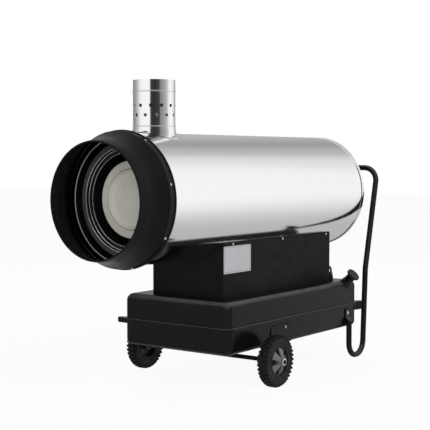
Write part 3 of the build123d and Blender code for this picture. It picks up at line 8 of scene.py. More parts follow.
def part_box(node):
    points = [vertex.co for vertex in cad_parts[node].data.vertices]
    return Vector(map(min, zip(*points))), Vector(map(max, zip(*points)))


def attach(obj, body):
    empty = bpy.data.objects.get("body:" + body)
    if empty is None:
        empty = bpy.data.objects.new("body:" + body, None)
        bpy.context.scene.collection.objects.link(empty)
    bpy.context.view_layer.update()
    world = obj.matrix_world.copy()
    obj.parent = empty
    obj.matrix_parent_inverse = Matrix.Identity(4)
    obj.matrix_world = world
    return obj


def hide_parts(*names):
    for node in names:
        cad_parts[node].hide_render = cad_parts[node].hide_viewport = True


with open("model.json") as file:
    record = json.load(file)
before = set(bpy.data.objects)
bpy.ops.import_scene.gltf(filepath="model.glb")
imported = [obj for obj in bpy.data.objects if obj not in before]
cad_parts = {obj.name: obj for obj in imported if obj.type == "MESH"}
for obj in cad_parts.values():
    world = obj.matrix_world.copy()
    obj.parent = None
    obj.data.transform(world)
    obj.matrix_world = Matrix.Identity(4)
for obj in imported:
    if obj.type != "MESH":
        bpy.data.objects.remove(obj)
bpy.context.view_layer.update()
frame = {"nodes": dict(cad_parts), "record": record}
bpy.ops.object.select_all(action="DESELECT")
nodes = frame["nodes"]
body_of_node = {label: body for body, labels in frame["record"]["behaviour"]["bodies"].items()
                for label in labels}

# Places of the heater in metres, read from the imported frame
mouth_low, mouth_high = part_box("outlet_cone")
drum_low, drum_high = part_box("drum_shell")
tank_low, tank_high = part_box("tank_upper")
tyre_low, tyre_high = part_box("tyre_right")
axle_low, axle_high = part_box("axle")
LIP_Y = mouth_low[1]
DRUM_Z = (drum_low[2] + drum_high[2]) / 2
DRUM_RADIUS = (drum_high[2] - drum_low[2]) / 2
AXLE_Y = (axle_low[1] + axle_high[1]) / 2
AXLE_Z = (axle_low[2] + axle_high[2]) / 2
WHEEL_RADIUS = (tyre_high[2] - tyre_low[2]) / 2
TYRE_WIDTH = tyre_high[0] - tyre_low[0]
TYRE_MIDDLE_X = (tyre_low[0] + tyre_high[0]) / 2


def back(distance):
    """The y of a place this many metres behind the outlet's lip."""
    return LIP_Y + distance


# Shader groups that several finishes share
def start_group(name, inputs, outputs):
    group = bpy.data.node_groups.new(name, "ShaderNodeTree")
    for label, kind, value in inputs:
        socket = group.interface.new_socket(label, in_out="INPUT", socket_type=kind)
        socket.default_value = value
    for label, kind in outputs:
        group.interface.new_socket(label, in_out="OUTPUT", socket_type=kind)
    return group, group.nodes.new("NodeGroupInput"), group.nodes.new("NodeGroupOutput")


def stretched_noise(group, entry, detail):
    """Noise on object coordinates, scaled along each axis by the group's Stretch input."""
    place = group.nodes.new("ShaderNodeTexCoord")
    stretch = group.nodes.new("ShaderNodeVectorMath")
    stretch.operation = "MULTIPLY"
    noise = group.nodes.new("ShaderNodeTexNoise")
    noise.inputs["Detail"].default_value = detail
    group.links.new(place.outputs["Object"], stretch.inputs[0])
    group.links.new(entry.outputs["Stretch"], stretch.inputs[1])
    group.links.new(stretch.outputs[0], noise.inputs["Vector"])
    group.links.new(entry.outputs["Scale"], noise.inputs["Scale"])
    return noise


def maths(group, operation, first, second):
    """A Math node fed by sockets or by plain numbers."""
    node = group.nodes.new("ShaderNodeMath")
    node.operation = operation
    for socket, value in zip(node.inputs, (first, second)):
        if isinstance(value, (int, float)):
            socket.default_value = value
        else:
            group.links.new(value, socket)
    return node.outputs[0]


def mottle_group():
    """A soft cloudy value between Low and High, for roughness."""
    group, entry, leave = start_group(
        "Cloudy value",
        [("Stretch", "NodeSocketVector", (1, 1, 1)), ("Scale", "NodeSocketFloat", 12.0),
         ("Low", "NodeSocketFloat", 0.2), ("High", "NodeSocketFloat", 0.4)],
        [("Value", "NodeSocketFloat")])
    noise = stretched_noise(group, entry, 4.0)
    spread = group.nodes.new("ShaderNodeMapRange")
    spread.inputs["From Min"].default_value = 0.32
    spread.inputs["From Max"].default_value = 0.68
    group.links.new(noise.outputs["Fac"], spread.inputs["Value"])
    group.links.new(entry.outputs["Low"], spread.inputs["To Min"])
    group.links.new(entry.outputs["High"], spread.inputs["To Max"])
    group.links.new(spread.outputs["Result"], leave.inputs["Value"])
    return group


def drift_group():
    """A colour that wanders between two shades of a finish, with a second colour where the Edge mask is high: worn
    paint, bare rims and print, and on some finishes painted highlights and painted shade.
    """
    group, entry, leave = start_group(
        "Shade drift",
        [("Stretch", "NodeSocketVector", (1, 1, 1)), ("Scale", "NodeSocketFloat", 9.0),
         ("First", "NodeSocketColor", (0.5, 0.5, 0.5, 1)), ("Second", "NodeSocketColor", (0.4, 0.4, 0.4, 1)),
         ("Rubbed", "NodeSocketColor", (0.6, 0.6, 0.6, 1)), ("Edge", "NodeSocketFloat", 0.0)],
        [("Color", "NodeSocketColor")])
    noise = stretched_noise(group, entry, 5.0)
    shade = group.nodes.new("ShaderNodeMix")
    shade.data_type = "RGBA"
    rub = group.nodes.new("ShaderNodeMix")
    rub.data_type = "RGBA"
    group.links.new(noise.outputs["Fac"], shade.inputs["Factor"])
    group.links.new(entry.outputs["First"], shade.inputs["A"])
    group.links.new(entry.outputs["Second"], shade.inputs["B"])
    group.links.new(entry.outputs["Edge"], rub.inputs["Factor"])
    group.links.new(shade.outputs["Result"], rub.inputs["A"])
    group.links.new(entry.outputs["Rubbed"], rub.inputs["B"])
    group.links.new(rub.outputs["Result"], leave.inputs["Color"])
    return group


def grain_group():
    """A bumped normal from noise: orange peel, powder, plastic grain or rolled sheet."""
    group, entry, leave = start_group(
        "Surface grain",
        [("Stretch", "NodeSocketVector", (1, 1, 1)), ("Scale", "NodeSocketFloat", 300.0),
         ("Depth", "NodeSocketFloat", 0.0001)],
        [("Normal", "NodeSocketVector")])
    noise = stretched_noise(group, entry, 2.0)
    bump = group.nodes.new("ShaderNodeBump")
    bump.inputs["Strength"].default_value = 1.0
    group.links.new(noise.outputs["Fac"], bump.inputs["Height"])
    group.links.new(entry.outputs["Depth"], bump.inputs["Distance"])
    group.links.new(bump.outputs["Normal"], leave.inputs["Normal"])
    return group


def edge_group():
    """A mask that is high on sharp outer edges, broken up by noise, for worn paint, and on the cone for a painted
    highlight.
    """
    group, entry, leave = start_group(
        "Rubbed edges",
        [("Stretch", "NodeSocketVector", (1, 1, 1)), ("Scale", "NodeSocketFloat", 60.0),
         ("Width", "NodeSocketFloat", 0.0012), ("Amount", "NodeSocketFloat", 0.6)],
        [("Mask", "NodeSocketFloat")])
    noise = stretched_noise(group, entry, 4.0)
    bevel = group.nodes.new("ShaderNodeBevel")
    bevel.samples = 4
    face = group.nodes.new("ShaderNodeNewGeometry")
    meet = group.nodes.new("ShaderNodeVectorMath")
    meet.operation = "DOT_PRODUCT"
    spread = group.nodes.new("ShaderNodeMapRange")
    spread.inputs["From Min"].default_value = 0.995
    spread.inputs["From Max"].default_value = 0.80
    group.links.new(entry.outputs["Width"], bevel.inputs["Radius"])
    group.links.new(bevel.outputs["Normal"], meet.inputs[0])
    group.links.new(face.outputs["Normal"], meet.inputs[1])
    group.links.new(meet.outputs["Value"], spread.inputs["Value"])
    broken = maths(group, "MULTIPLY", spread.outputs["Result"], noise.outputs["Fac"])
    group.links.new(maths(group, "MULTIPLY", broken, entry.outputs["Amount"]), leave.inputs["Mask"])
    return group


def rim_group():
    """A mask that is high before the Front distance and inside the Bore radius of a drum ring."""
    group, entry, leave = start_group(
        "Bare rims and painted shade",
        [("Front", "NodeSocketFloat", 0.0), ("Bore", "NodeSocketFloat", 0.0)],
        [("Mask", "NodeSocketFloat")])
    place = group.nodes.new("ShaderNodeTexCoord")
    parts = group.nodes.new("ShaderNodeSeparateXYZ")
    group.links.new(place.outputs["Object"], parts.inputs[0])
    height = maths(group, "SUBTRACT", parts.outputs["Z"], DRUM_Z)
    squares = maths(group, "ADD", maths(group, "MULTIPLY", height, height),
                    maths(group, "MULTIPLY", parts.outputs["X"], parts.outputs["X"]))
    radius = maths(group, "SQRT", squares, 0.0)
    front = maths(group, "LESS_THAN", parts.outputs["Y"], entry.outputs["Front"])
    bore = maths(group, "LESS_THAN", radius, entry.outputs["Bore"])
    group.links.new(maths(group, "MAXIMUM", front, bore), leave.inputs["Mask"])
    return group


def turn_highlight_group():
    """A mask for a painted highlight, high where pressed metal turns from one flat side to another, most on upper
    turns.
    """
    group, entry, leave = start_group(
        "Painted highlight on turns",
        [("Stretch", "NodeSocketVector", (1, 1, 1)), ("Scale", "NodeSocketFloat", 14.0),
         ("Amount", "NodeSocketFloat", 1.0)],
        [("Mask", "NodeSocketFloat")])
    noise = stretched_noise(group, entry, 3.0)
    face = group.nodes.new("ShaderNodeNewGeometry")
    parts = group.nodes.new("ShaderNodeSeparateXYZ")
    group.links.new(face.outputs["Normal"], parts.inputs[0])
    sizes = [maths(group, "ABSOLUTE", parts.outputs[axis], 0.0) for axis in "XYZ"]
    flattest = maths(group, "MAXIMUM", maths(group, "MAXIMUM", sizes[0], sizes[1]), sizes[2])
    spread = group.nodes.new("ShaderNodeMapRange")
    spread.interpolation_type = "SMOOTHSTEP"
    spread.inputs["From Min"].default_value = 0.985
    spread.inputs["From Max"].default_value = 0.80
    group.links.new(flattest, spread.inputs["Value"])
    upper = maths(group, "ADD", maths(group, "MULTIPLY", maths(group, "MAXIMUM", parts.outputs["Z"], 0.0), 1.2), 0.15)
    broken = maths(group, "MULTIPLY", spread.outputs["Result"], maths(group, "ADD", noise.outputs["Fac"], 0.4))
    shown = maths(group, "MULTIPLY", maths(group, "MULTIPLY", broken, upper), entry.outputs["Amount"])
    group.links.new(shown, leave.inputs["Mask"])
    return group


cloudy_value = mottle_group()
shade_drift = drift_group()
surface_grain = grain_group()
worn_and_lit_edges = edge_group()
rims_and_shade_mask = rim_group()
turn_highlight_mask = turn_highlight_group()


def place_group(material, group, **values):
    node = material.node_tree.nodes.new("ShaderNodeGroup")
    node.node_tree = group
    for label, value in values.items():
        node.inputs[label].default_value = value
    return node


def finish(name, first, second, metal, rough, grain, drift_scale=9.0, stretch=(1, 1, 1), wear_and_light_colour=None,
           wear_and_light_amount=0.0, turn_highlight_amount=0.0, coat=0.0, specular=0.5):
    """A finish: drifting shade, cloudy roughness, surface grain, and a second colour where asked, on worn edges or on
    pressed turns; on the cone's edges and the tank's turns that colour is a painted highlight.
    """
    material = bpy.data.materials.new(name)
    material.use_nodes = True
    tree = material.node_tree
    shader = tree.nodes["Principled BSDF"]
    shader.inputs["Metallic"].default_value = metal
    shader.inputs["Coat Weight"].default_value = coat
    shader.inputs["Coat Roughness"].default_value = 0.08
    shader.inputs["Specular IOR Level"].default_value = specular
    colour = place_group(material, shade_drift, Stretch=stretch, Scale=drift_scale, First=(*first, 1),
                         Second=(*second, 1), Rubbed=(*(wear_and_light_colour or first), 1))
    colour.name = "shade"
    # Pressed turns get a painted highlight in the second colour.
    if turn_highlight_amount:
        turns = place_group(material, turn_highlight_mask, Amount=turn_highlight_amount)
        tree.links.new(turns.outputs["Mask"], colour.inputs["Edge"])
    elif wear_and_light_amount:
        edge = place_group(material, worn_and_lit_edges, Amount=wear_and_light_amount)
        tree.links.new(edge.outputs["Mask"], colour.inputs["Edge"])
    gloss = place_group(material, cloudy_value, Stretch=stretch, Scale=drift_scale * 1.7, Low=rough[0],
                        High=rough[1])
    relief = place_group(material, surface_grain, Stretch=stretch, Scale=grain[0], Depth=grain[1])
    tree.links.new(colour.outputs["Color"], shader.inputs["Base Color"])
    tree.links.new(gloss.outputs["Value"], shader.inputs["Roughness"])
    tree.links.new(relief.outputs["Normal"], shader.inputs["Normal"])
    return material


def ring_finish(name, body, second, rim_and_shade_colour, front, bore, metal=0.9, rough=(0.35, 0.5)):
    """Sheet with a second colour before the front distance and inside the bore: the bare cut rims of scaled or sooted
    sheet, and painted shade on the polished drum where it runs under the cone.
    """
    material = finish(name, body, second, metal, rough, (260.0, 0.0001), 16.0, wear_and_light_colour=rim_and_shade_colour)
    mask = place_group(material, rims_and_shade_mask, Front=front, Bore=bore)
    tree = material.node_tree
    tree.links.new(mask.outputs["Mask"], tree.nodes["shade"].inputs["Edge"])
    return material


def ruled_lines(tree, place, cell, line):
    """Thin lines round cells of this size, from a place in the plate's plane."""
    ruled = tree.nodes.new("ShaderNodeTexBrick")
    ruled.offset = 0.0
    ruled.inputs["Scale"].default_value = 1.0
    ruled.inputs["Mortar Size"].default_value = line
    ruled.inputs["Mortar Smooth"].default_value = 0.1
    ruled.inputs["Brick Width"].default_value = cell[0]
    ruled.inputs["Row Height"].default_value = cell[1]
    tree.links.new(place, ruled.inputs["Vector"])
    return ruled.outputs["Fac"]


def table_finish(name, silver, ink, label, margin, rows, columns):
    """The bare rating plate: satin foil with a frame and the thin ruled lines of an empty table."""
    material = finish(name, silver, tuple(value * 0.90 for value in silver), 0.35, (0.34, 0.44),
                      (700.0, 0.00003), 30.0, wear_and_light_colour=ink)
    low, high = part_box(label)
    width = high[1] - low[1] - margin * 2
    height = high[2] - low[2] - margin * 2
    tree = material.node_tree
    place = tree.nodes.new("ShaderNodeTexCoord")
    parts = tree.nodes.new("ShaderNodeSeparateXYZ")
    flat = tree.nodes.new("ShaderNodeCombineXYZ")
    tree.links.new(place.outputs["Object"], parts.inputs[0])
    tree.links.new(maths(tree, "SUBTRACT", parts.outputs["Y"], low[1] + margin), flat.inputs["X"])
    tree.links.new(maths(tree, "SUBTRACT", parts.outputs["Z"], low[2] + margin), flat.inputs["Y"])
    table = ruled_lines(tree, flat.outputs[0], (width / columns, height / rows), 0.00035)
    frame_line = ruled_lines(tree, flat.outputs[0], (width, height), 0.0009)
    both = maths(tree, "MAXIMUM", maths(tree, "MULTIPLY", table, 0.8), frame_line)
    tree.links.new(both, tree.nodes["shade"].inputs["Edge"])
    return material


finishes = {
    "polished_steel": finish("Polished stainless sheet", (0.93, 0.93, 0.94), (0.89, 0.89, 0.90), 1.0,
                             (0.05, 0.10), (5.0, 0.0006), 3.0, (1, 0.25, 1)),
    "heat_steel": finish("Heat tinted steel", (0.20, 0.18, 0.16), (0.10, 0.09, 0.08), 0.8, (0.40, 0.6),
                         (220.0, 0.00012), 14.0),
    "baked_plate": finish("Baked chamber plate", (0.84, 0.83, 0.76), (0.60, 0.58, 0.50), 0.1, (0.36, 0.52),
                          (160.0, 0.00006), 10.0, (1, 1, 0.30)),
    "satin_black": finish("Satin black powder coat", (0.0055, 0.0055, 0.006), (0.0085, 0.0085, 0.009), 0.0,
                          (0.36, 0.50), (750.0, 0.00006), 16.0, wear_and_light_colour=(0.05, 0.05, 0.05), wear_and_light_amount=0.35,
                          specular=0.06),
    # Cone edges: the pale bluish edge colour is mostly a painted highlight on the lip and beads, with a little worn
    # paint.
    "cone_black": finish("Stoved black cone", (0.0040, 0.0040, 0.0044), (0.0058, 0.0058, 0.0062), 0.0,
                         (0.24, 0.30), (900.0, 0.00002), 14.0, wear_and_light_colour=(0.30, 0.31, 0.34), wear_and_light_amount=0.5,
                         specular=0.12),
    # Tank paint: its paler colour on the pressed turns is a painted highlight along the roundings, strongest on upper
    # turns.
    "gloss_black": finish("Gloss black tank paint", (0.0035, 0.0035, 0.004), (0.0055, 0.0055, 0.006), 0.0,
                          (0.14, 0.22), (240.0, 0.0001), 10.0, wear_and_light_colour=(0.060, 0.060, 0.062), turn_highlight_amount=1.0,
                          specular=0.10),
    "zinc": finish("Bright zinc plate", (0.74, 0.75, 0.76), (0.62, 0.63, 0.66), 1.0, (0.22, 0.36),
                   (400.0, 0.00004), 60.0),
    "bright_steel": finish("Turned steel", (0.62, 0.63, 0.64), (0.54, 0.55, 0.56), 1.0, (0.18, 0.32),
                           (500.0, 0.00005), 40.0, (1, 6, 1)),
    "silver_plate": table_finish("Ruled silver foil", (0.50, 0.51, 0.53), (0.20, 0.20, 0.21),
                                 "rating_plate", 0.005, 11, 2),
    "motor_grey": finish("Grey motor enamel", (0.17, 0.18, 0.20), (0.13, 0.14, 0.155), 0.0, (0.3, 0.42),
                         (300.0, 0.0001), 20.0, wear_and_light_colour=(0.4, 0.4, 0.4), wear_and_light_amount=0.5),
    "pump_metal": finish("Cast aluminium", (0.55, 0.56, 0.57), (0.46, 0.47, 0.48), 0.9, (0.38, 0.55),
                         (420.0, 0.0002), 25.0),
    "brass": finish("Plain brass", (0.70, 0.55, 0.28), (0.60, 0.45, 0.22), 1.0, (0.22, 0.34),
                    (500.0, 0.00004), 40.0),
    "black_plastic": finish("Moulded black plastic", (0.014, 0.014, 0.014), (0.020, 0.020, 0.020), 0.0,
                            (0.36, 0.48), (1200.0, 0.00005), 30.0, wear_and_light_colour=(0.06, 0.06, 0.06), wear_and_light_amount=0.4,
                            specular=0.25),
    "hub_grey": finish("Grey hub plastic", (0.150, 0.150, 0.145), (0.110, 0.110, 0.106), 0.0, (0.34, 0.46),
                       (900.0, 0.00005), 40.0, wear_and_light_colour=(0.26, 0.26, 0.25), wear_and_light_amount=0.5),
    "white_plastic": finish("Off-white plastic", (0.66, 0.66, 0.62), (0.58, 0.58, 0.54), 0.0, (0.35, 0.45),
                            (900.0, 0.00004), 30.0),
    "mark_white": finish("White marking paint", (0.72, 0.72, 0.70), (0.66, 0.66, 0.64), 0.0, (0.4, 0.5),
                         (800.0, 0.00002), 60.0),
    "lamp_amber": finish("Amber lens", (0.80, 0.32, 0.03), (0.70, 0.24, 0.02), 0.0, (0.08, 0.14),
                         (200.0, 0.00003), 60.0, coat=0.6),
    "tyre_black": finish("Tyre rubber", (0.0070, 0.0068, 0.0064), (0.0125, 0.0120, 0.0112), 0.0,
                         (0.42, 0.60), (500.0, 0.00018), 35.0, wear_and_light_colour=(0.050, 0.049, 0.046), wear_and_light_amount=0.7,
                         specular=0.16),
    "hose_black": finish("Hose rubber", (0.014, 0.014, 0.014), (0.020, 0.020, 0.020), 0.0, (0.42, 0.55),
                         (700.0, 0.00006), 40.0, specular=0.3),
}

liner_low, liner_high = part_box("drum_liner")
jacket_low, jacket_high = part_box("exchanger_jacket")
CUT_RIM = 0.0017
finishes["liner_sheet"] = ring_finish("Sooted liner sheet", (0.012, 0.011, 0.010), (0.007, 0.006, 0.006),
                                      (0.62, 0.62, 0.61), liner_low[1] + CUT_RIM, 0.0, metal=0.4)
finishes["jacket_sheet"] = ring_finish("Heat blued jacket", (0.012, 0.011, 0.010), (0.007, 0.0065, 0.006),
                                       (0.12, 0.12, 0.12), jacket_low[1] + CUT_RIM, 0.0, metal=0.4)
# Drum sheet: painted shade, near black from just behind the cone forward, where the drum runs under the cone.
finishes["drum_sheet"] = ring_finish("Drum sheet, dark under the cone", (0.93, 0.93, 0.94),
                                     (0.89, 0.89, 0.90), (0.006, 0.006, 0.006), mouth_high[1] - 0.002, 0.0,
                                     metal=1.0, rough=(0.05, 0.10))


def paint_crease_shade(material, inner, outer, crease_shade_colour, share):
    """Darken the crease between two radii round the drum's axis with a painted shade."""
    tree = material.node_tree
    within = [place_group(material, rims_and_shade_mask, Front=FAR_AHEAD, Bore=radius) for radius in (outer, inner)]
    crease = maths(tree, "SUBTRACT", within[0].outputs["Mask"], within[1].outputs["Mask"])
    tree.nodes["shade"].inputs["Rubbed"].default_value = (*crease_shade_colour, 1)
    tree.links.new(maths(tree, "MULTIPLY", crease, share), tree.nodes["shade"].inputs["Edge"])


FAR_AHEAD = -9.0
# The dark line in the plate's pressed crease is a painted shade.
paint_crease_shade(finishes["baked_plate"], 0.1086, 0.1122, (0.16, 0.15, 0.13), 0.75)
special_finishes = {"drum_liner": "liner_sheet", "exchanger_jacket": "jacket_sheet",
                    "drum_shell": "drum_sheet", "outlet_cone": "cone_black"}
for entry in frame["record"]["subparts"]:
    label = entry["node"]
    nodes[label].data.materials.clear()
    nodes[label].data.materials.append(finishes[special_finishes.get(label, entry["material_slot"])])


# Ways of working that every piece shares
def from_axle(point):
    return math.hypot(point.y - AXLE_Y, point.z - AXLE_Z)


def work_on(piece, mode="FACE"):
    """Enter edit mode on one piece with nothing selected."""
    bpy.ops.object.select_all(action="DESELECT")
    bpy.context.view_layer.objects.active = piece
    piece.select_set(True)
    bpy.ops.object.mode_set(mode="EDIT")
    bpy.ops.mesh.select_mode(type=mode)
    bpy.ops.mesh.select_all(action="DESELECT")


def pick_faces(test):
    """Select the faces whose centre and normal pass the test, and no others."""
    bpy.ops.mesh.select_mode(type="FACE")
    bpy.ops.mesh.select_all(action="DESELECT")
    mesh = bmesh.from_edit_mesh(bpy.context.object.data)
    for face in mesh.faces:
        face.select_set(bool(test(face.calc_center_median(), face.normal)))
    bmesh.update_edit_mesh(bpy.context.object.data)


def pick_points(test):
    """Select the points whose place passes the test, and no others."""
    bpy.ops.mesh.select_mode(type="VERT")
    bpy.ops.mesh.select_all(action="DESELECT")
    mesh = bmesh.from_edit_mesh(bpy.context.object.data)
    for point in mesh.verts:
        if test(point.co):
            point.select_set(True)
    mesh.select_flush(True)
    bmesh.update_edit_mesh(bpy.context.object.data)


def leave_edit():
    bpy.ops.object.mode_set(mode="OBJECT")


def settle(piece):
    """Put the piece's place, turn and size into its mesh."""
    bpy.ops.object.select_all(action="DESELECT")
    bpy.context.view_layer.objects.active = piece
    piece.select_set(True)
    bpy.ops.object.transform_apply(location=True, rotation=True, scale=True)


def apply_modifier(piece, kind, **settings):
    bpy.ops.object.select_all(action="DESELECT")
    bpy.context.view_layer.objects.active = piece
    piece.select_set(True)
    modifier = piece.modifiers.new(kind.lower(), kind)
    for name, value in settings.items():
        setattr(modifier, name, value)
    bpy.ops.object.modifier_apply(modifier=modifier.name)


def round_edges(piece, width, segments=2, angle=35):
    apply_modifier(piece, "BEVEL", width=width, segments=segments, limit_method="ANGLE",
                   angle_limit=math.radians(angle))
    bpy.ops.object.shade_smooth_by_angle(angle=math.radians(32))


def points_out(piece):
    """Merge doubles and turn every face outwards."""
    work_on(piece)
    bpy.ops.mesh.select_all(action="SELECT")
    bpy.ops.mesh.remove_doubles(threshold=0.000005)
    bpy.ops.mesh.normals_make_consistent(inside=False)
    leave_edit()


def copied(model, name, matrix):
    """One more of a repeated piece, with its own mesh, turned and placed in that mesh."""
    twin = model.copy()
    twin.data = model.data.copy()
    twin.name = name
    twin.data.transform(matrix)
    bpy.context.collection.objects.link(twin)
    return twin


def joined(pieces, name):
    bpy.ops.object.select_all(action="DESELECT")
    for piece in pieces:
        piece.select_set(True)
    bpy.context.view_layer.objects.active = pieces[0]
    bpy.ops.object.join()
    whole = bpy.context.object
    whole.name = name
    return whole


def hand_over(piece, slot, body, *stands_for, look=None):
    """Give a finished piece its material, its slot, its body and the nodes that it stands for."""
    piece.data.materials.clear()
    piece.data.materials.append(finishes[look or slot])
    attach(piece, body)
    if stands_for:
        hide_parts(*stands_for)


def facing(place, axis):
    """The turn and place that send +Z at the origin along the axis at the place."""
    return Matrix.Translation(place) @ Vector(axis).to_track_quat("Z", "Y").to_matrix().to_4x4()


def loose_solids(label):
    """The corner points of each separate solid of a CAD node."""
    mesh = nodes[label].data
    leader = {}

    def find(key):
        while leader[key] != key:
            leader[key] = leader[leader[key]]
            key = leader[key]
        return key

    keys = [tuple(round(value, 5) for value in point.co) for point in mesh.vertices]
    for key in keys:
        leader.setdefault(key, key)
    for face in mesh.polygons:
        first, *others = [keys[index] for index in face.vertices]
        for other in others:
            leader[find(other)] = find(first)
    groups = {}
    for key in leader:
        groups.setdefault(find(key), []).append(Vector(key))
    return list(groups.values())


# Chamber front: one pressed plate with a soft rolled edge and a dished middle
plate_low, plate_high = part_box("chamber_front_plate")
PLATE_RADIUS = (plate_high[2] - plate_low[2]) / 2
PRESSED_RING_RADIUS = 0.112
PLATE_PRESSING = ((0.0004, 0.0), (PLATE_RADIUS - PRESSED_RING_RADIUS - 0.0016, 0.0), (0.0010, -0.0014),
                  (0.0010, -0.0012), (0.0008, 0.0), (0.0012, 0.0014), (0.0040, 0.0056), (0.0036, 0.0050),
                  (0.0012, 0.0010), (0.0010, 0.0002), (0.0260, -0.0006), (0.0300, -0.0010))


def model_front_plate():
    bpy.ops.mesh.primitive_circle_add(vertices=128, radius=PLATE_RADIUS, fill_type="NGON",
                                      location=(0, plate_low[1] + 0.0016, DRUM_Z),
                                      rotation=(math.pi / 2, 0, 0))
    plate = bpy.context.object
    plate.name = "pressed_front_plate"
    settle(plate)
    work_on(plate)
    bpy.ops.mesh.select_all(action="SELECT")
    bpy.ops.mesh.inset(thickness=0.0012)
    bpy.ops.transform.translate(value=(0, -0.0016, 0))
    for inset, sink in PLATE_PRESSING:
        bpy.ops.mesh.inset(thickness=inset)
        bpy.ops.transform.translate(value=(0, sink, 0))
    leave_edit()
    apply_modifier(plate, "SOLIDIFY", thickness=0.0014, offset=-1)
    points_out(plate)
    bpy.ops.object.shade_smooth_by_angle(angle=math.radians(40))
    return plate


hand_over(model_front_plate(), "heat_steel", "heater", "chamber_front_plate", look="baked_plate")


# Heat exchanger front: rolled stainless hems that catch the light round the dark jacket
def rolled_hem(reach, radius, thickness):
    """A round hem right round the drum's axis."""
    bpy.ops.mesh.primitive_circle_add(vertices=12, radius=thickness / 2, rotation=(0, math.pi / 2, 0),
                                      location=(0, back(reach), DRUM_Z + radius))
    hem = bpy.context.object
    settle(hem)
    work_on(hem)
    bpy.ops.mesh.select_all(action="SELECT")
    bpy.ops.mesh.spin(steps=120, angle=math.tau, center=(0, back(reach), DRUM_Z), axis=(0, 1, 0))
    leave_edit()
    points_out(hem)
    bpy.ops.object.shade_smooth_by_angle(angle=math.radians(60))
    return hem


JACKET_FRONT = jacket_low[1] - LIP_Y
JACKET_REAR = jacket_high[1] - LIP_Y
JACKET_BORE = 0.171
JACKET_STEP = 0.189
JACKET_FLANGE = 0.211
STEP_DEPTH = 0.013
JACKET_SIDES = ((JACKET_FRONT, JACKET_FLANGE), (JACKET_FRONT, JACKET_STEP),
                (JACKET_FRONT + STEP_DEPTH, JACKET_STEP), (JACKET_FRONT + STEP_DEPTH, JACKET_BORE),
                (JACKET_REAR, JACKET_BORE), (JACKET_REAR, JACKET_FLANGE))
JACKET_HEMS = ((JACKET_FRONT + 0.0002, JACKET_STEP + 0.0015, 0.0034),
               (JACKET_FRONT + STEP_DEPTH - 0.0016, JACKET_STEP - 0.0040, 0.0040),
               (JACKET_FRONT + STEP_DEPTH + 0.0006, JACKET_BORE - 0.0011, 0.0022))


def model_jacket():
    """The stepped jacket: its outline swept right round the drum's axis."""
    bpy.ops.mesh.primitive_circle_add(vertices=len(JACKET_SIDES), radius=0.1, rotation=(0, math.pi / 2, 0),
                                      location=(0, back(JACKET_FRONT), DRUM_Z))
    jacket = bpy.context.object
    settle(jacket)
    work_on(jacket)
    mesh = bmesh.from_edit_mesh(jacket.data)
    for point, (reach, radius) in zip(mesh.verts, JACKET_SIDES):
        point.co = (0, back(reach), DRUM_Z + radius)
    bmesh.update_edit_mesh(jacket.data)
    bpy.ops.mesh.select_all(action="SELECT")
    bpy.ops.mesh.spin(steps=144, angle=math.tau, center=(0, back(JACKET_FRONT), DRUM_Z), axis=(0, 1, 0))
    leave_edit()
    points_out(jacket)
    round_edges(jacket, 0.0012, 2)
    return jacket


jacket = model_jacket()
jacket.name = "stepped_jacket"
hand_over(jacket, "polished_steel", "heater", "exchanger_jacket", look="jacket_sheet")
hems = [rolled_hem(*place) for place in JACKET_HEMS]
hand_over(joined(hems, "rolled_jacket_hems"), "polished_steel", "heater")


# Sheet metal screws: a low round head with a cross recess, driven in wherever the CAD has one
SCREW_HEAD_RADIUS = 0.005
SCREW_HEAD_HEIGHT = 0.0026
RECESS_WIDTH = 0.0013
RECESS_LENGTH = 0.0056


def recess_bar(turn):
    bpy.ops.mesh.primitive_cube_add(size=1, location=(0, 0, SCREW_HEAD_HEIGHT), rotation=(0, 0, turn))
    bar = bpy.context.object
    bar.scale = (RECESS_LENGTH, RECESS_WIDTH, SCREW_HEAD_HEIGHT)
    settle(bar)
    work_on(bar)
    pick_faces(lambda centre, normal: normal.z < -0.9)
    bpy.ops.transform.resize(value=(0.45, 0.45, 1), center_override=(0, 0, SCREW_HEAD_HEIGHT / 2))
    leave_edit()
    return bar


def model_screw():
    """A pan head at the origin, its seat on z = 0 and its crown along +Z."""
    bpy.ops.mesh.primitive_cylinder_add(vertices=28, radius=SCREW_HEAD_RADIUS, depth=SCREW_HEAD_HEIGHT * 0.55,
                                        location=(0, 0, SCREW_HEAD_HEIGHT * 0.275))
    head = bpy.context.object
    settle(head)
    work_on(head)
    for inset, rise in ((0.0007, 0.26), (0.0011, 0.14), (0.0014, 0.05)):
        top = max(point.co.z for point in bmesh.from_edit_mesh(head.data).verts) - 0.00001
        pick_faces(lambda centre, normal: centre.z > top and normal.z > 0.9)
        bpy.ops.mesh.inset(thickness=inset)
        bpy.ops.transform.translate(value=(0, 0, SCREW_HEAD_HEIGHT * rise))
    leave_edit()
    for turn in (0, math.pi / 2):
        bar = recess_bar(turn)
        apply_modifier(head, "BOOLEAN", operation="DIFFERENCE", object=bar, solver="EXACT")
        bpy.data.objects.remove(bar, do_unlink=True)
    bpy.context.view_layer.objects.active = head
    head.select_set(True)
    bpy.ops.object.shade_smooth_by_angle(angle=math.radians(35))
    return head


def screw_axis(corners):
    """The seat and outward direction of a screw, from the points of its solid."""
    middle = sum(corners, Vector()) / len(corners)
    if middle.y > drum_high[1]:
        outward = Vector((0, 1, 0))
    elif middle.z < DRUM_Z - DRUM_RADIUS * 0.45:
        outward = Vector((math.copysign(1, middle.x), 0, 0))
    else:
        outward = Vector((middle.x, 0, middle.z - DRUM_Z)).normalized()
        if outward.z > 0.9 and abs(middle.x) < 0.02:
            outward = Vector((0, 0, 1))
    crown = max(point.dot(outward) for point in corners)
    seat = middle + outward * (crown - SCREW_HEAD_HEIGHT - middle.dot(outward))
    return seat, outward


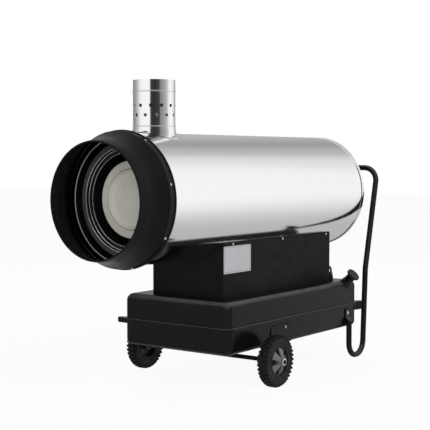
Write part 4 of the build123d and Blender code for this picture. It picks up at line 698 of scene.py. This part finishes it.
screw = model_screw()
screws = []
for index, corners in enumerate(loose_solids("sheet_screws")):
    seat, outward = screw_axis(corners)
    turned = facing(seat, outward) @ Matrix.Rotation(index * 0.7, 4, "Z")
    screws.append(copied(screw, "screw_copy", turned))
bpy.data.objects.remove(screw, do_unlink=True)
hand_over(joined(screws, "recessed_screws"), "zinc", "heater", "sheet_screws")


# Hex bolts with washers that hold the handle to the tank
def model_hex_bolt(washer_radius, washer_thickness, across_corners, head_height):
    """A washer and a chamfered hexagon head at the origin, along +Z."""
    bpy.ops.mesh.primitive_cylinder_add(vertices=32, radius=washer_radius, depth=washer_thickness,
                                        location=(0, 0, washer_thickness / 2))
    washer = bpy.context.object
    settle(washer)
    round_edges(washer, washer_thickness * 0.3)
    bpy.ops.mesh.primitive_cylinder_add(vertices=6, radius=across_corners, depth=head_height,
                                        location=(0, 0, washer_thickness + head_height / 2))
    head = bpy.context.object
    settle(head)
    bpy.ops.mesh.primitive_cone_add(vertices=48, radius1=across_corners * 1.26, radius2=across_corners * 0.86,
                                    depth=head_height, location=head_centre(washer_thickness, head_height))
    chamfer = bpy.context.object
    settle(chamfer)
    apply_modifier(head, "BOOLEAN", operation="INTERSECT", object=chamfer, solver="EXACT")
    bpy.data.objects.remove(chamfer, do_unlink=True)
    round_edges(head, head_height * 0.04, 1, 40)
    return joined([washer, head], "hex_bolt")


def head_centre(washer_thickness, head_height):
    return (0, 0, washer_thickness + head_height / 2)


bolt_places = []
for corners in loose_solids("handle_bolts"):
    middle = sum(corners, Vector()) / len(corners)
    side = math.copysign(1, middle.x)
    crown = max(point.x * side for point in corners)
    bolt_places.append((Vector(((crown - 0.004) * side, middle.y, middle.z)), side))
hex_bolt = model_hex_bolt(0.0078, 0.0012, 0.0064, 0.0028)
bolts = [copied(hex_bolt, "bolt_copy", facing(place, (side, 0, 0))) for place, side in bolt_places]
bpy.data.objects.remove(hex_bolt, do_unlink=True)
hand_over(joined(bolts, "handle_hex_bolts"), "zinc", "heater", "handle_bolts")


# Wheel nuts: a spacer behind each hub, a washer and a chamfered nut before it, all open for the axle
def axle_bore(piece, radius):
    """Cut the axle's hole along the X axis through a piece at its own place."""
    bpy.ops.mesh.primitive_cylinder_add(vertices=48, radius=radius, depth=0.2, rotation=(0, math.pi / 2, 0),
                                        location=(math.copysign(0.26, piece.data.vertices[0].co.x), AXLE_Y, AXLE_Z))
    bore = bpy.context.object
    settle(bore)
    apply_modifier(piece, "BOOLEAN", operation="DIFFERENCE", object=bore, solver="EXACT")
    bpy.data.objects.remove(bore, do_unlink=True)


def round_ring(low, high, radius):
    """A disc along the X axis from one place to the other, with eased rims."""
    bpy.ops.mesh.primitive_cylinder_add(vertices=48, radius=radius, depth=high - low, rotation=(0, math.pi / 2, 0),
                                        location=((low + high) / 2, AXLE_Y, AXLE_Z))
    ring = bpy.context.object
    settle(ring)
    round_edges(ring, (high - low) * 0.12)
    return ring


def hex_nut(low, high, across_corners):
    """A hexagon along the X axis with its outer corners turned off."""
    bpy.ops.mesh.primitive_cylinder_add(vertices=6, radius=across_corners, depth=high - low,
                                        rotation=(0, math.pi / 2, 0), location=((low + high) / 2, AXLE_Y, AXLE_Z))
    nut = bpy.context.object
    settle(nut)
    bpy.ops.mesh.primitive_cone_add(vertices=64, radius1=across_corners * 1.30, radius2=across_corners * 0.84,
                                    depth=high - low, rotation=(0, math.pi / 2, 0),
                                    location=((low + high) / 2, AXLE_Y, AXLE_Z))
    chamfer = bpy.context.object
    settle(chamfer)
    apply_modifier(nut, "BOOLEAN", operation="INTERSECT", object=chamfer, solver="EXACT")
    bpy.data.objects.remove(chamfer, do_unlink=True)
    round_edges(nut, 0.0003, 1, 40)
    return nut


AXLE_RADIUS = (axle_high[2] - axle_low[2]) / 2
hardware_right = []
for corners in loose_solids("axle_hardware"):
    low = min(point.x for point in corners)
    high = max(point.x for point in corners)
    radius = max(from_axle(point) for point in corners)
    if low < 0:
        continue
    shaped = hex_nut if 0.010 < radius < 0.0118 else round_ring
    piece = shaped(low, high, radius)
    axle_bore(piece, AXLE_RADIUS + 0.0003)
    hardware_right.append(piece)
hardware = joined(hardware_right, "wheel_nuts_right")
hardware_left = copied(hardware, "wheel_nuts_left", Matrix.Scale(-1, 4, (1, 0, 0)))
points_out(hardware_left)
hand_over(joined([hardware, hardware_left], "wheel_nuts"), "zinc", "heater", "axle_hardware")


# Tyres: staggered blocks that wrap over the shoulders, ribbed walls and a bead on the rim
TREAD_DEPTH = 0.0052
TREAD_COUNT = 34
SHOULDER_DROP = 0.0070
TYRE_BORE = 0.055


def model_tyre():
    tread_radius = WHEEL_RADIUS - TREAD_DEPTH
    centre = (TYRE_MIDDLE_X, AXLE_Y, AXLE_Z)
    bpy.ops.mesh.primitive_cylinder_add(vertices=TREAD_COUNT * 4, radius=tread_radius, depth=TYRE_WIDTH,
                                        location=centre, rotation=(0, math.pi / 2, 0))
    tyre = bpy.context.object
    settle(tyre)
    work_on(tyre)
    for share in (-0.27, 0.0, 0.27):
        bpy.ops.mesh.select_all(action="SELECT")
        bpy.ops.mesh.bisect(plane_co=(TYRE_MIDDLE_X + TYRE_WIDTH * share, AXLE_Y, AXLE_Z), plane_no=(1, 0, 0))
    drop = (tread_radius - SHOULDER_DROP) / tread_radius
    pick_points(lambda place: abs(place.x - TYRE_MIDDLE_X) > TYRE_WIDTH * 0.49)
    bpy.ops.transform.resize(value=(1, drop, drop), center_override=centre)

    step = math.tau / (TREAD_COUNT * 2)

    def is_block(centre_point, normal):
        if abs(normal.x) > 0.9:
            return False
        turn = math.atan2(centre_point.z - AXLE_Z, centre_point.y - AXLE_Y) % math.tau
        outer = centre_point.x > TYRE_MIDDLE_X
        return (int(turn / step) + int(outer)) % 2 == 0

    pick_faces(is_block)
    bpy.ops.mesh.extrude_region_shrink_fatten(TRANSFORM_OT_shrink_fatten={"value": TREAD_DEPTH})
    pick_faces(lambda place, normal: abs(normal.x) > 0.99 and from_axle(place) < 0.001)
    for thickness, move in ((0.0050, 0.0), (0.0020, -0.0012), (0.0016, 0.0014), (0.0140, 0.0),
                            (0.0022, -0.0010), (0.0016, 0.0010)):
        bpy.ops.mesh.inset(thickness=thickness)
        bpy.ops.transform.resize(value=((TYRE_WIDTH / 2 + move) / (TYRE_WIDTH / 2), 1, 1),
                                 center_override=centre)
    bpy.ops.mesh.inset(thickness=from_axle_inset(tread_radius))
    bpy.ops.mesh.delete(type="FACE")
    bpy.ops.mesh.select_mode(type="EDGE")
    mesh = bmesh.from_edit_mesh(tyre.data)
    for edge in mesh.edges:
        edge.select_set(edge.is_boundary)
    bmesh.update_edit_mesh(tyre.data)
    bpy.ops.mesh.bridge_edge_loops()
    leave_edit()
    points_out(tyre)
    round_edges(tyre, 0.0007, 1, 40)
    return tyre


def from_axle_inset(tread_radius):
    """What is left between the last ring of the wall and the bore."""
    return tread_radius - SHOULDER_DROP - 0.0264 - TYRE_BORE


tyre_right = model_tyre()
tyre_right.name = "treaded_tyre_right"
tyre_left = copied(tyre_right, "treaded_tyre_left", Matrix.Scale(-1, 4, (1, 0, 0)))
points_out(tyre_left)
hand_over(tyre_right, "tyre_black", "wheel_right", "tyre_right")
hand_over(tyre_left, "tyre_black", "wheel_left", "tyre_left")


# Moulded nodes get their edges rounded on a merged copy
def softened(label, name, width, slot, segments=2, look=None):
    twin = nodes[label].copy()
    twin.data = nodes[label].data.copy()
    twin.name = name
    twin.parent = None
    twin.matrix_world = Matrix.Identity(4)
    bpy.context.collection.objects.link(twin)
    work_on(twin)
    bpy.ops.mesh.select_all(action="SELECT")
    bpy.ops.mesh.remove_doubles(threshold=0.00001)
    bpy.ops.mesh.select_all(action="SELECT")
    bpy.ops.mesh.dissolve_limited(angle_limit=math.radians(0.6))
    leave_edit()
    round_edges(twin, width, segments, 40)
    hand_over(twin, slot, body_of_node[label], label, look=look)
    return twin


for side in ("right", "left"):
    softened("wheel_star_" + side, "moulded_star_" + side, 0.0012, "hub_grey")
softened("thermostat_knob", "moulded_knob", 0.0009, "black_plastic")
softened("power_switch", "moulded_rocker", 0.0005, "black_plastic")


# Control marks: the dial's ticks, and I and O beside the switch
control_low, control_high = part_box("control_plate")
knob_low, knob_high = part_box("thermostat_knob")
rocker_low, rocker_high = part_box("power_switch")
MARK_RAISE = 0.00015
KNOB_PLACE = ((knob_low[1] + knob_high[1]) / 2, (knob_low[2] + knob_high[2]) / 2)
KNOB_RADIUS = (knob_high[2] - knob_low[2]) / 2
BEZEL_RISE = 0.002
PRINT_X = control_low[0] + BEZEL_RISE


def print_bar(centre, size, turn=0.0):
    """A raised printed bar on the control plate, from its middle, length and width."""
    bpy.ops.mesh.primitive_cube_add(size=1, location=(0, 0, 0))
    bar = bpy.context.object
    bar.scale = (MARK_RAISE * 2, size[0], size[1])
    bar.rotation_euler = (turn, 0, 0)
    bar.location = (PRINT_X, centre[0], centre[1])
    settle(bar)
    round_edges(bar, 0.0001, 1)
    return bar


def print_ring(centre, radius, width):
    """A raised printed circle on the control plate."""
    bpy.ops.mesh.primitive_circle_add(vertices=48, radius=radius, fill_type="NGON", rotation=(0, math.pi / 2, 0),
                                      location=(PRINT_X + MARK_RAISE, *centre))
    ring = bpy.context.object
    settle(ring)
    work_on(ring)
    bpy.ops.mesh.select_all(action="SELECT")
    bpy.ops.mesh.inset(thickness=width)
    bpy.ops.mesh.delete(type="FACE")
    leave_edit()
    apply_modifier(ring, "SOLIDIFY", thickness=MARK_RAISE * 2, offset=0)
    points_out(ring)
    return ring


marks = []
for step in range(11):
    turn = math.radians(-135 + step * 27)
    length = 0.0060 if step % 5 == 0 else 0.0038
    reach = KNOB_RADIUS + 0.0035 + length / 2
    centre = (KNOB_PLACE[0] + math.sin(turn) * reach, KNOB_PLACE[1] + math.cos(turn) * reach)
    marks.append(print_bar(centre, (0.0009, length), -turn))
rocker_y = (rocker_low[1] + rocker_high[1]) / 2
mark_z = (rocker_low[2] + rocker_high[2]) / 2
mark_reach = (rocker_high[2] - rocker_low[2]) / 2 + 0.0105
marks.append(print_bar((rocker_y, mark_z + mark_reach), (0.0010, 0.0060)))
marks.append(print_ring((rocker_y, mark_z - mark_reach), 0.0032, 0.0009))
hand_over(joined(marks, "control_marks"), "black_plastic", "heater", look="mark_white")

# Floor, background, lamps and camera
FLOOR_WHITE = 0.94
bpy.ops.mesh.primitive_plane_add(size=40, location=(0, 0, 0))
floor = bpy.context.object
floor.name = "studio_floor"
floor.visible_glossy = False
floor_paint = bpy.data.materials.new("Pale floor")
floor_paint.use_nodes = True
tree = floor_paint.node_tree
shader = tree.nodes["Principled BSDF"]
shader.inputs["Base Color"].default_value = (0.84, 0.84, 0.84, 1)
shader.inputs["Roughness"].default_value = 0.7
glow = tree.nodes.new("ShaderNodeEmission")
glow.inputs["Color"].default_value = (1, 1, 1, 1)
seen = tree.nodes.new("ShaderNodeLightPath")
blend = tree.nodes.new("ShaderNodeMixShader")
share = tree.nodes.new("ShaderNodeMath")
share.operation = "MULTIPLY"
share.inputs[1].default_value = FLOOR_WHITE
tree.links.new(seen.outputs["Is Camera Ray"], share.inputs[0])
tree.links.new(share.outputs[0], blend.inputs["Fac"])
tree.links.new(shader.outputs["BSDF"], blend.inputs[1])
tree.links.new(glow.outputs["Emission"], blend.inputs[2])
tree.links.new(blend.outputs["Shader"], tree.nodes["Material Output"].inputs["Surface"])
floor.data.materials.append(floor_paint)


def shade_ramp(tree, stops, smooth="EASE"):
    """A ramp of greys over a 0 to 1 value, from pairs of place and shade."""
    ramp = tree.nodes.new("ShaderNodeValToRGB")
    ramp.color_ramp.interpolation = smooth
    points = ramp.color_ramp.elements
    while len(points) < len(stops):
        points.new(0.5)
    for point, (place, shade) in zip(points, stops):
        point.position = place
        point.color = (shade[0], shade[1], shade[2], 1)
    return ramp


def grey(value, warmth=0.0):
    return (value, value * (1 - warmth * 0.4), value * (1 - warmth))


def studio_world():
    """White to the camera, plain light on the heater, and a studio of pale and dark walls for its metal."""
    world = bpy.data.worlds.new("Plain studio")
    bpy.context.scene.world = world
    world.use_nodes = True
    tree = world.node_tree
    plain = tree.nodes["Background"]
    plain.inputs["Color"].default_value = (1, 1, 1, 1)
    plain.inputs["Strength"].default_value = 0.5
    white = tree.nodes.new("ShaderNodeBackground")
    white.inputs["Color"].default_value = (1, 1, 1, 1)
    walls = tree.nodes.new("ShaderNodeBackground")
    rays = tree.nodes.new("ShaderNodeLightPath")
    way = tree.nodes.new("ShaderNodeTexCoord")
    parts = tree.nodes.new("ShaderNodeSeparateXYZ")
    tree.links.new(way.outputs["Generated"], parts.inputs[0])
    turn = maths(tree, "ARCTAN2", parts.outputs["Y"], parts.outputs["X"])
    round_share = maths(tree, "ADD", maths(tree, "DIVIDE", turn, math.tau), 0.5)
    degrees = ((-180, 0.30), (-158, 0.48), (-126, 0.95), (-112, 1.0), (-76, 1.0), (-69, 0.05), (-50, 0.03),
               (-26, 0.05), (-14, 0.26), (12, 0.40), (26, 0.62), (38, 0.95), (48, 1.0), (64, 0.97),
               (75, 0.80), (92, 0.50), (106, 0.36), (124, 0.48), (146, 0.30), (180, 0.30))
    around = shade_ramp(tree, [((angle + 180) / 360, grey(shade, (shade - 1) * 0.04))
                               for angle, shade in degrees])
    tree.links.new(round_share, around.inputs["Fac"])
    height_share = maths(tree, "ADD", maths(tree, "MULTIPLY", parts.outputs["Z"], 0.5), 0.5)
    upward = shade_ramp(tree, [(0.80, grey(0.0)), (0.90, grey(1.0))])
    tree.links.new(height_share, upward.inputs["Fac"])
    downward = shade_ramp(tree, [(0.20, grey(1.0)), (0.50, grey(0.0))])
    tree.links.new(height_share, downward.inputs["Fac"])
    over = tree.nodes.new("ShaderNodeMix")
    over.data_type = "RGBA"
    over.inputs["B"].default_value = (*grey(0.55), 1)
    under = tree.nodes.new("ShaderNodeMix")
    under.data_type = "RGBA"
    under.inputs["B"].default_value = (*grey(0.50, 0.04), 1)
    tree.links.new(upward.outputs["Color"], over.inputs["Factor"])
    tree.links.new(around.outputs["Color"], over.inputs["A"])
    tree.links.new(downward.outputs["Color"], under.inputs["Factor"])
    tree.links.new(over.outputs["Result"], under.inputs["A"])
    tree.links.new(under.outputs["Result"], walls.inputs["Color"])
    to_metal = tree.nodes.new("ShaderNodeMixShader")
    glossy = maths(tree, "MAXIMUM", rays.outputs["Is Glossy Ray"], rays.outputs["Is Transmission Ray"])
    tree.links.new(glossy, to_metal.inputs["Fac"])
    tree.links.new(plain.outputs["Background"], to_metal.inputs[1])
    tree.links.new(walls.outputs["Background"], to_metal.inputs[2])
    to_camera = tree.nodes.new("ShaderNodeMixShader")
    tree.links.new(rays.outputs["Is Camera Ray"], to_camera.inputs["Fac"])
    tree.links.new(to_metal.outputs["Shader"], to_camera.inputs[1])
    tree.links.new(white.outputs["Background"], to_camera.inputs[2])
    tree.links.new(to_camera.outputs["Shader"], tree.nodes["World Output"].inputs["Surface"])


studio_world()
camera_place = Vector((2.5515, back(-2.7759), 0.8724))
camera_target = Vector((0, back(0.7093), 0.6432))


def soft_lamp(name, place, target, size, power):
    lamp = bpy.data.lights.new(name, "AREA")
    lamp.shape = "RECTANGLE"
    lamp.size = size[0]
    lamp.size_y = size[1]
    lamp.energy = power
    holder = bpy.data.objects.new(name, lamp)
    bpy.context.collection.objects.link(holder)
    holder.location = place
    aim = Vector(target) - Vector(place)
    holder.rotation_euler = aim.to_track_quat("-Z", "Y").to_euler()
    return holder


key_lamp = soft_lamp("key_lamp", (3.4, -1.2, 3.6), (0, 0, 0.6), (2.6, 1.8), 85)
key_lamp.visible_glossy = False
front_lamp = soft_lamp("front_lamp", (2.7, -3.7, 2.0), (0, -0.4, 0.7), (1.6, 1.6), 60)
front_lamp.visible_glossy = False
rear_lamp = soft_lamp("rear_lamp", (-2.6, 3.0, 2.8), (0, 0.3, 0.7), (2.4, 1.6), 50)
rear_lamp.visible_glossy = False

camera_data = bpy.data.cameras.new("photo_camera")
camera_data.sensor_width = 36.0
camera_data.lens = 90.88
camera = bpy.data.objects.new("photo_camera", camera_data)
bpy.context.collection.objects.link(camera)
camera.location = camera_place
camera.rotation_euler = (camera_target - camera_place).to_track_quat("-Z", "Y").to_euler()
bpy.context.scene.camera = camera

bpy.context.scene.view_settings.view_transform = "Standard"
bpy.context.view_layer.update()
